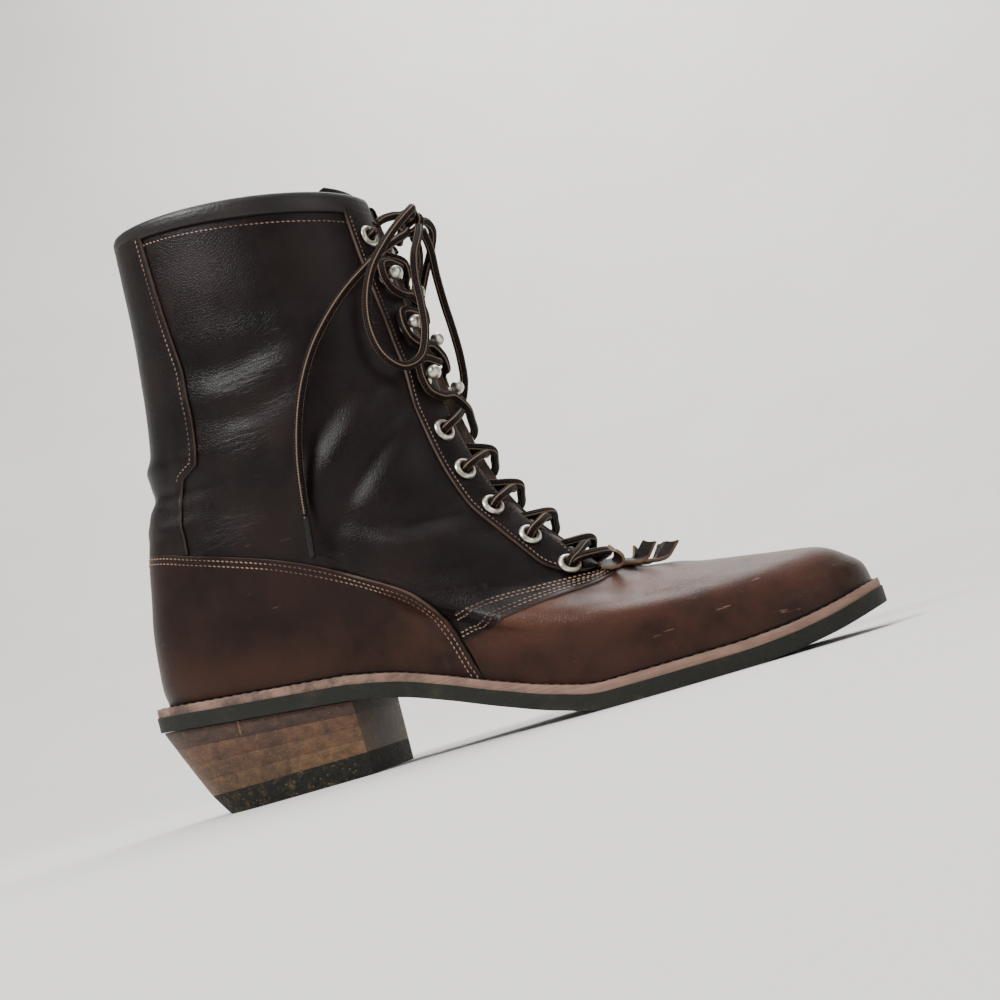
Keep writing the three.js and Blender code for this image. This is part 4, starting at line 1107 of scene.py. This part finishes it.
def eyestay_spot(side):
    """Places on one facing: s from the slot's edge to the rear edge, t from the throat to the collar."""
    def spot(s, t):
        v = mix(6.03, binding_level - 0.02, t)
        lens = np.sqrt(np.clip(1 - (1 - np.clip((v - 6.03) / 0.6, 0, 1)) ** 2, 0, 1))
        half = slot_half(np.maximum(v, 6.2))
        across = half + 0.2 + (eyestay_width - 0.2) * lens * s
        return beside(v, side * across), v
    return spot


sides = {"medial": -1, "lateral": 1}
for side_name, side in sides.items():
    sewn_panel(
        f"facing_{side_name}", 22, 150, eyestay_spot(side), "shaft_leather", shaft_leather,
        f"eyestay_{side_name}", side < 0,
    )

# Collar binding.
# A thin black leather strip rolled over the top of the shaft, from one side of the slot to the
# other.
collar_rise = float(surface([0.0], [12.0])[0, 2] - surface([0.0], [11.0])[0, 2])
binding_foot = -binding_height
binding_middle = -binding_height / 2
binding_rises = [binding_foot, binding_foot + 0.3, binding_middle, -0.4, 0.7, 1.2]
binding_rises += [1.2, 0.7, -0.4, binding_middle, binding_foot]
binding_offsets = [0.2, 1.2, 1.6, 1.5, 0.9, -0.4, -1.8, -3.1, -3.7, -3.7, -2.6]


def binding_place(s, t):
    v = collar_section + np.interp(t * 10, range(11), binding_rises) / collar_rise
    return in_frame(skin(quarter_turn(v, s), v, np.interp(t * 10, range(11), binding_offsets)))


binding_leather = Finish("binding_leather")
binding_colour = binding_leather.blend(binding_leather.noise(60, 4), rgb(14, 12, 12), rgb(36, 31, 30))
binding_grain = binding_leather.noise(600, 4)
binding_material = binding_leather.finish(
    binding_colour, 0.42, binding_grain, 0.0002, {"Specular IOR Level": 0.25},
)
binding = formed_grid("rolled_binding", 220, 30, binding_place)
dress(binding, 0.5, "binding_leather", [binding_material], "collar_binding", rim=0, soften=0)

# Tongue.
# A soft leather tongue behind the slot, standing a little over the collar. It is cut from the dark
# leather and held by the throat's stitching.
tongue_thickness = 2.0
tongue_top = -(wall + 1.2 + 2 * seam)


def tongue_place(s, t):
    v = mix(5.75, collar_section + 4 / collar_rise, t)
    corner = np.sqrt(np.clip(1 - np.clip((t - 0.93) / 0.07, 0, 1) ** 2 * 0.5, 0, 1))
    return in_frame(skin(0.5 + 0.13 * corner * (2 * s - 1), v, tongue_top))


tongue = formed_grid("tongue_leather", 50, 150, tongue_place)
dress(tongue, tongue_thickness, "foot_leather", [shaft_leather, cut_edge_material], "tongue")

# Quarter seam.
# The quarters' folded lower edge, which lies over the vamp's edge from the counter to the throat
# and carries two double rows of thread; its fold is worn pale.
seam_overlap = 1.0
seam_top = 2.2


def dot(first, second):
    """The dot product, row by row."""
    return (first * second).sum(axis=1)


def evened(rows, reach):
    """The running mean of each column over reach rows to both sides."""
    padded = np.concatenate([np.repeat(rows[:1], reach, axis=0), rows, np.repeat(rows[-1:], reach, axis=0)])
    total = np.cumsum(np.concatenate([np.zeros_like(padded[:1]), padded]), axis=0)
    return (total[2 * reach + 1:] - total[:-2 * reach - 1]) / (2 * reach + 1)


def beside_path(u, v, distance):
    """Places at a distance to the left of a path on the surface, found in small steps."""
    spots = surface(u, v)
    left = evened(np.cross(outward(u, v), np.gradient(spots, axis=0)), 4)
    left /= np.linalg.norm(left, axis=1)[:, None]
    for share in (0.25, 0.5, 0.75, 1.0, 1.0, 1.0):
        here = surface(u, v)
        miss = spots + left * distance * share - here
        around = (surface(u + 0.001, v) - here) / 0.001
        upward = (surface(u, v + 0.01) - here) / 0.01
        spread = dot(around, around) * dot(upward, upward) - dot(around, upward) ** 2
        turn_step = dot(around, miss) * dot(upward, upward) - dot(upward, miss) * dot(around, upward)
        level_step = dot(upward, miss) * dot(around, around) - dot(around, miss) * dot(around, upward)
        u = u + np.clip(turn_step / spread, -0.01, 0.01)
        v = v + np.clip(level_step / spread, -0.5, 0.5)
    return u, v


seam_shares = np.linspace(0, 1, 161)
seam_x = mix(142.6, 203.5, seam_shares)
seam_edge = along(vamp_top_x, vamp_top_z, seam_x)
seam_rise = mix(10.0, 4.6, seam_shares)
seam_start = np.interp(seam_x, [142.3, 151.1, 157, 203], [0.2446, 0.2574, 0.2766, 0.47])
seam_guess = np.interp(seam_start, vamp_turns, vamp_levels)


def seam_row(side, height):
    """A row at a height over the vamp's edge, as seen from the inner side (-1) or the outer one."""
    turns = seam_start if side < 0 else 1 - seam_start
    return seen_at(seam_x, seam_edge + height, turns, seam_guess)


for side_name, side in sides.items():
    seam_rows = np.array([
        skin(*seam_row(side, mix(-seam_overlap, seam_rise, t)), mix(seam_top, 0.25, t))
        for t in np.linspace(0, 1, 11)
    ])

    def seam_place(s, t):
        return in_frame(seam_rows[np.rint(t * 10).astype(int), np.rint(s * 160).astype(int)])

    fold = formed_grid(f"quarter_fold_{side_name}", 160, 10, seam_place)
    if side > 0:
        fold.data.flip_normals()
    dress(fold, 0.65, "shaft_leather", [shaft_leather, cut_edge_material], soften=0.2)

# Stitching.
# Tan thread in lock stitches: two rows round the counter's edge, two double rows on the quarters'
# seam, and one along each edge of the backstay and of the facings and under the binding.
thread = Finish("tan_thread")
thread_twist = thread.noise(1, 2, 0.5, thread.place(scale=(900, 900, 2400)))
thread_soil = thread.noise(30, 4, 0.6).between(0.38, 0.62)
thread_colour = thread.blend(thread_soil, rgb(142, 118, 102), rgb(84, 64, 55))
thread_material = thread.finish(thread_colour, 0.75, thread_twist, 0.0001, {"Specular IOR Level": 0.3})
stitching = bmesh.new()
collar_row_level = 11.64


def sew(work, spots, normals, pitch=2.1, length=1.55, width=0.6, sink=0.08):
    """Stitches along points in millimetres, each a small bean that lies on the leather."""
    walked = walked_to(spots)
    row = bmesh.new()
    for middle in np.arange(pitch / 2, walked[-1] - pitch / 2, pitch):
        spot, near, out = [
            np.array([np.interp(at, walked, rows[:, axis]) for axis in range(3)])
            for at, rows in ((middle, spots), (middle + 0.4, spots), (middle, normals))
        ]
        ahead = Vector(near - spot).normalized()
        out = Vector(out).normalized()
        across = ahead.cross(out).normalized()
        lean = (ahead + across * 0.12).normalized()
        place = Matrix((lean, out.cross(lean), out)).transposed().to_4x4()
        place.translation = Vector(in_frame(spot)) + out * (width * 0.3 - sink) * 0.001
        size = Matrix.Diagonal((length * 0.0005, width * 0.0005, width * 0.0004, 1))
        bmesh.ops.create_uvsphere(row, u_segments=6, v_segments=4, radius=1, matrix=place @ size)
    mesh = bpy.data.meshes.new("stitch_row")
    row.to_mesh(mesh)
    row.free()
    work.from_mesh(mesh)
    bpy.data.meshes.remove(mesh)


def sewn_up(work, name):
    """All the stitches of one thread as a piece."""
    for face in work.faces:
        face.smooth = True
    piece = made_of(work, name)
    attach(piece, "root")
    return piece


def sew_beside(u, v, distance, offset, **sizes):
    """A row at a distance to the left of a path on the surface."""
    u, v = beside_path(u, v, distance)
    sew(stitching, skin(u, v, offset), outward(u, v), **sizes)


up_shares = np.linspace(0.02, 1, 40)
round_shares = np.linspace(0, 1, 300)
edge_s = np.concatenate([np.zeros(39), round_shares, np.ones(39)])
edge_t = np.concatenate([up_shares[:-1], np.ones(300), up_shares[-2::-1]])
counter_edge = counter_spot(edge_s, edge_t)
for inset in (1.7, 3.8):
    sew_beside(*counter_edge, -inset, panel_top)
for side in (-1, 1):
    for height, thick in ((0.9, 0.6), (2.5, 0.6), (seam_rise - 2.2, 0.72), (seam_rise - 0.6, 0.72)):
        row_u, row_v = seam_row(side, height)
        share = (height + seam_overlap) / (seam_rise + seam_overlap)
        sew(stitching, skin(row_u, row_v, mix(seam_top, 0.25, share)), outward(row_u, row_v), width=thick)
stay_v = np.linspace(7.2, binding_level - 0.05, 200)
stay_u = np.interp(stay_v, stay_levels, stay_turns)
stay_low = np.interp(stay_u, top_turns, top_levels) + 0.05
stay_keep = stay_v > stay_low
sew_beside(stay_u[stay_keep], stay_v[stay_keep], 2.4, panel_top)
sew_beside(-stay_u[stay_keep], stay_v[stay_keep], -2.4, panel_top)
facing_t = np.linspace(0.012, 0.985, 260)
for side in (-1, 1):
    rear_u, rear_v = eyestay_spot(side)(np.ones(260), facing_t)
    front_u, front_v = eyestay_spot(side)(np.zeros(260), facing_t)
    sew_beside(rear_u, rear_v, side * 1.5, panel_top, width=0.5, pitch=1.9, length=1.4)
    sew_beside(front_u[8:], front_v[8:], -side * 1.5, panel_top, width=0.45, pitch=1.9, length=1.4)
for span, offset in (((0.565, 0.925), 0.0), ((1.075, 1.435), 0.0), ((-0.06, 0.06), panel_top)):
    collar_u = np.linspace(*span, 200)
    collar_v = np.full(200, collar_row_level)
    sew(stitching, skin(collar_u, collar_v, offset), outward(collar_u, collar_v))
stitches = sewn_up(stitching, "stitches")
stitches.data.materials.append(thread_material)

# Sole thread.
# Heavier thread through welt and outsole: dark and waxed on the welt's top, pale where it lies in the
# channel under the sole.
heavy = Finish("sole_thread")
heavy_soil = heavy.noise(40, 3).between(0.45, 0.7)
heavy_material = heavy.finish(heavy.blend(heavy_soil, rgb(196, 186, 168), rgb(110, 98, 84)), 0.75)
sole_sewing = bmesh.new()
turns = np.linspace(-0.5, 0.5, 700)
welt_row = outline(turns, welt_setback + 2.1)
welt_spots = np.column_stack([welt_row, welt_top(welt_row[:, 0])])
flat_normals = np.tile([0.0, 0.0, 1.0], (700, 1))
sew(sole_sewing, welt_spots, flat_normals, pitch=4.2, length=3.1, width=0.9, sink=0.25)
channel_turns = np.linspace(breast_turn + 0.012, 1 - breast_turn - 0.012, 700)
channel_row = outline(channel_turns, channel_inset)
channel_spots = np.column_stack([channel_row, underside(channel_row[:, 0]) + 0.9])
sew(sole_sewing, channel_spots, -flat_normals, pitch=5.2, length=4.0, width=1.3, sink=0.2)
sole_stitches = sewn_up(sole_sewing, "sole_stitches").data
waxed = Finish("waxed_thread")
waxed_colour = waxed.blend(waxed.noise(200, 3), rgb(24, 17, 14), rgb(58, 44, 37))
sole_stitches.materials.append(heavy_material)
sole_stitches.materials.append(waxed.finish(waxed_colour, 0.7))
for polygon in sole_stitches.polygons:
    lowest = underside(np.array([polygon.center.x * 1000 - boot_shift[0]]))[0]
    polygon.material_index = 1 if polygon.center.z * 1000 > lowest + outsole_thickness else 0

# Eyelets.
# Rolled nickel rings pressed through the facings, dull and a little scratched.
eyelet_inset = 9.0
ridge_levels = np.linspace(throat_section, collar_section, 121)
ridge_spots = surface(np.full(121, 0.5), ridge_levels)
ridge_walked = shares_of(ridge_spots)
station_shares = [0.035, 0.135, 0.235, 0.335, 0.435, 0.56, 0.68, 0.8, 0.905]
station_levels = [float(np.interp(share, ridge_walked, ridge_levels)) for share in station_shares]
hook_stations = (5, 6, 7)
facing_top = seam + 1.3


def on_facing(v, across, offset):
    """A point over the front, in millimetres."""
    return skin(beside([v], [across]), [v], offset)[0]


def station_frame(station, side):
    """The place and the outward direction of a station on one facing."""
    v = np.array([station_levels[station]])
    u = beside(v, side * (slot_half(v) + eyelet_inset))
    return skin(u, v, facing_top)[0], outward(u, v)[0]


def revolved(work, profile, spot, out, steps=32):
    """A profile of radius and height turned round the outward direction of a point."""
    corners = [work.verts.new((radius, 0, height)) for radius, height in profile]
    edges = [work.edges.new(pair) for pair in zip(corners, corners[1:])]
    bmesh.ops.spin(
        work, geom=corners + edges, cent=(0, 0, 0), axis=(0, 0, 1), angle=2 * math.pi, steps=steps,
        use_merge=True,
    )
    fresh = [vertex for vertex in work.verts if not vertex.tag]
    turn = Vector((0, 0, 1)).rotation_difference(Vector(out)).to_matrix().to_4x4()
    turn.translation = Vector(in_frame(spot))
    bmesh.ops.transform(work, matrix=turn, verts=fresh)
    for vertex in fresh:
        vertex.tag = True


def plated(work, name, nodes):
    """Finished metal as one piece that stands for its nodes."""
    bmesh.ops.remove_doubles(work, verts=work.verts, dist=1e-6)
    bmesh.ops.recalc_face_normals(work, faces=work.faces)
    for face in work.faces:
        face.smooth = True
    fit(made_of(work, name), "nickel", [nickel_material], *nodes)


nickel = Finish("nickel_plate")
nickel_tarnish = nickel.noise(300, 4)
nickel_colour = nickel.blend(nickel_tarnish.between(0.4, 0.7), rgb(206, 202, 192), rgb(140, 130, 116))
nickel_rough = nickel_tarnish * 0.3 + 0.2
nickel_material = nickel.finish(nickel_colour, nickel_rough, nickel_tarnish, 0.00008, {"Metallic": 1.0})
eyelet_profile = [
    (0.0024, -0.0036), (0.0024, 0.0009), (0.0026, 0.0014), (0.0031, 0.00175),
    (0.0037, 0.0017), (0.0043, 0.0013), (0.0047, 0.0008), (0.0048, 0.0003),
    (0.0046, 0.0001), (0.0029, 0.0001), (0.0029, -0.0036), (0.0024, -0.0036),
]
eyelets = bmesh.new()
eyelet_nodes = []
for station in range(len(station_levels)):
    if station in hook_stations:
        continue
    for side_name, side in sides.items():
        spot, out = station_frame(station, side)
        revolved(eyelets, eyelet_profile, spot, out)
        eyelet_nodes.append(f"eyelet_{side_name}_{station + 1}")
plated(eyelets, "nickel_eyelets", eyelet_nodes)

# Ball hooks.
# Nickel studs riveted to the facings: a round plate, a bent neck and a ball that the lace hooks
# under.
hook_plate = [(0.0, 0.0013), (0.0022, 0.0013), (0.0032, 0.001), (0.0036, 0.0004), (0.0036, 0.0), (0.0, 0.0)]
hook_neck = [(0.0013, 0.0008), (0.001, 0.002), (0.001, 0.0034), (0.0014, 0.0042)]
ball_radius = 0.003
ball_height = 0.0062
hooks = bmesh.new()
hook_nodes = []
for station in hook_stations:
    for side_name, side in sides.items():
        spot, out = station_frame(station, side)
        revolved(hooks, hook_plate, spot, out, 24)
        revolved(hooks, hook_neck, spot, out, 16)
        place = Matrix.Translation(Vector(in_frame(spot)) + Vector(out) * ball_height)
        made = bmesh.ops.create_uvsphere(
            hooks, u_segments=24, v_segments=16, radius=ball_radius, matrix=place,
        )
        for vertex in made["verts"]:
            vertex.tag = True
        hook_nodes.append(f"hook_{side_name}_{station + 1}")
plated(hooks, "nickel_hooks", hook_nodes)

# Laced turns.
# The same cord from side to side: out of each eyelet, over the facing's edge, across the tongue
# and in under the other facing; above, round the necks of the hooks.


def turn_points(station, side, next_station):
    """Points of the cord from one station to the next one on the other side."""
    v, w = station_levels[station], station_levels[next_station]
    near, far = slot_half([v, w])
    hole, far_hole = near + eyelet_inset, far + eyelet_inset
    if station in hook_stations:
        points = [(v + 0.03, side * (hole + 2.9), 4.2), (v + 0.16, side * (hole + 1.6), 4.3)]
        points.append((v + 0.2, side * (hole - 2.0), 4.4))
    else:
        points = [(v, side * (hole + 0.3), -3.4), (v, side * hole, 1.2)]
        points += [(v + 0.02, side * (hole - 0.6), 4.6), (v + 0.07, side * (hole - 3.4), 5.3)]
    points.append((mix(v, w, 0.33), side * near * 0.8, 4.4))
    points.append((mix(v, w, 0.5), 0.0, 2.4 if side < 0 else 5.2))
    if next_station in hook_stations:
        points += [(mix(v, w, 0.7), -side * far * 0.8, 4.2), (w - 0.2, -side * (far_hole - 2.4), 4.2)]
        points += [(w - 0.14, -side * (far_hole + 1.6), 4.1), (w - 0.02, -side * (far_hole + 2.9), 4.1)]
    else:
        points += [(mix(v, w, 0.68), -side * far * 0.72, 0.6), (mix(v, w, 0.82), -side * (far + 2.4), -4.0)]
        points.append((w - 0.03, -side * (far_hole - 1.2), -4.6))
    return points


strands = []
for first_side in (-1, 1):
    side = first_side
    strand = []
    for station in range(len(station_levels) - 1):
        strand += turn_points(station, side, station + 1)
        side = -side
    v = station_levels[-1]
    hole = float(slot_half([v])[0]) + eyelet_inset
    strand += [(v, side * (hole + 0.3), -3.4), (v, side * hole, 1.2), (v + 0.03, side * (hole - 0.3), 5.4)]
    strands.append(strand)
v = station_levels[0]
hole = float(slot_half([v])[0]) + eyelet_inset
bar_half = [
    (v - 0.02, 5.0, 4.4), (v - 0.02, hole - 5, 5.2), (v - 0.01, hole - 1.4, 4.8), (v, hole, 1.4),
    (v, hole + 0.2, -3.4),
]
strands.append([(level, -across, lift) for level, across, lift in bar_half[::-1]] + bar_half)
laced = []
for number, strand in enumerate(strands):
    spots = np.array([on_facing(*point) for point in strand])
    piece = lace_tube(f"laced_strand_{number + 1}", in_frame(smooth_route(spots, lace_step)))
    fit(piece, "lace_cord", [lace_material])
    laced.append(piece)
for piece in laced:
    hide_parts("lace_crossings")

# Kiltie.
# A loose leather flap laced in over the tongue; its front edge is cut in strips that have dried
# and curled up, and their cut edges show tan.
fringe_leather = oiled_leather(
    "fringe_leather", rgb(16, 9, 8), rgb(36, 22, 18), rgb(70, 46, 36), (-0.05, 0.02, 0.0), 0.4,
)
fringe_edge = Finish("fringe_edge")
fringe_fibre = fringe_edge.noise(700, 4)
fringe_edge_colour = fringe_edge.blend(fringe_fibre, rgb(66, 48, 35), rgb(124, 98, 73))
fringe_edge_material = fringe_edge.finish(fringe_edge_colour, 0.85, fringe_fibre, 0.0003)
fringe_materials = [fringe_leather, fringe_edge_material]
fringe_thickness = 1.6
neck_low = tongue_top + 2 * seam
apron_low = seam + 1.3 + seam


def neck_place(s, t):
    v = mix(5.64 + 0.2 * (2 * s - 1) ** 2, 8.0, t)
    half = np.where(v > 6.1, slot_half(np.maximum(v, 6.2)) - 0.8, 15.5)
    half = np.where(v > 6.1, half, mix(19.5, half, np.clip((v - 5.8) / 0.3, 0, 1)))
    offset = np.interp(v, [5.9, 6.02, 6.2], [apron_low + 0.8, apron_low + 0.8, neck_low + 0.8])
    return in_frame(skin(beside(v, mix(-half, half, s) + 1e-6), v, offset + fringe_thickness / 2))


neck = formed_grid("kiltie_neck", 40, 90, neck_place)
dress(neck, fringe_thickness, "fringe_leather", fringe_materials, "kiltie")
# Each strip: place across, root level, straight part, curl radius and degrees, tail and skew
strips = [
    (-17.2, 5.84, 1.5, 3.0, 150, 1.5, 0.7), (-8.9, 5.74, 2.8, 4.0, 62, 6.0, 0.95),
    (-0.3, 5.6, 5.0, 4.2, 56, 6.4, 0.9), (8.4, 5.68, 4.5, 4.4, 72, 4.6, 0.5),
    (17.0, 5.82, 2.5, 4.0, 96, 3.4, -0.4),
]
strip_half = 3.9
for number, (across, strip_root, straight, curl, degrees, tail, skew) in enumerate(strips):
    u = beside([strip_root], [across + 1e-6])
    root = skin(u, [strip_root], apron_low + 1.0)[0]
    ahead = surface(u, [strip_root - 0.45])[0] - surface(u, [strip_root])[0]
    ahead /= np.linalg.norm(ahead)
    sideways = np.cross(ahead, outward(u, np.array([strip_root]))[0])
    sideways /= np.linalg.norm(sideways)
    rise = np.cross(sideways, ahead)
    turned = math.radians(degrees)

    def strip_place(s, t):
        run = t * (straight + curl * turned + tail + 2) - 2
        angle = np.clip((run - straight) / curl, 0, turned)
        past = np.maximum(run - straight - curl * turned, 0)
        length = np.minimum(run, straight) + curl * np.sin(angle) + past * math.cos(turned)
        lift = curl * (1 - np.cos(angle)) + 0.3 + past * math.sin(turned)
        width = strip_half * (1 - 0.16 * t) * (2 * s - 1)
        twist = skew * np.clip(run / (straight + curl), 0, 1)
        cup = 0.5 * (2 * s - 1) ** 2 * t
        spot = root + np.outer(length + width * np.sin(twist), ahead)
        spot += np.outer(width * np.cos(twist), sideways) + np.outer(lift + cup, rise)
        return in_frame(spot)

    strip = formed_grid(f"kiltie_strip_{number + 1}", 10, 40, strip_place)
    dress(strip, 1.3, "fringe_leather", fringe_materials, offset=0)
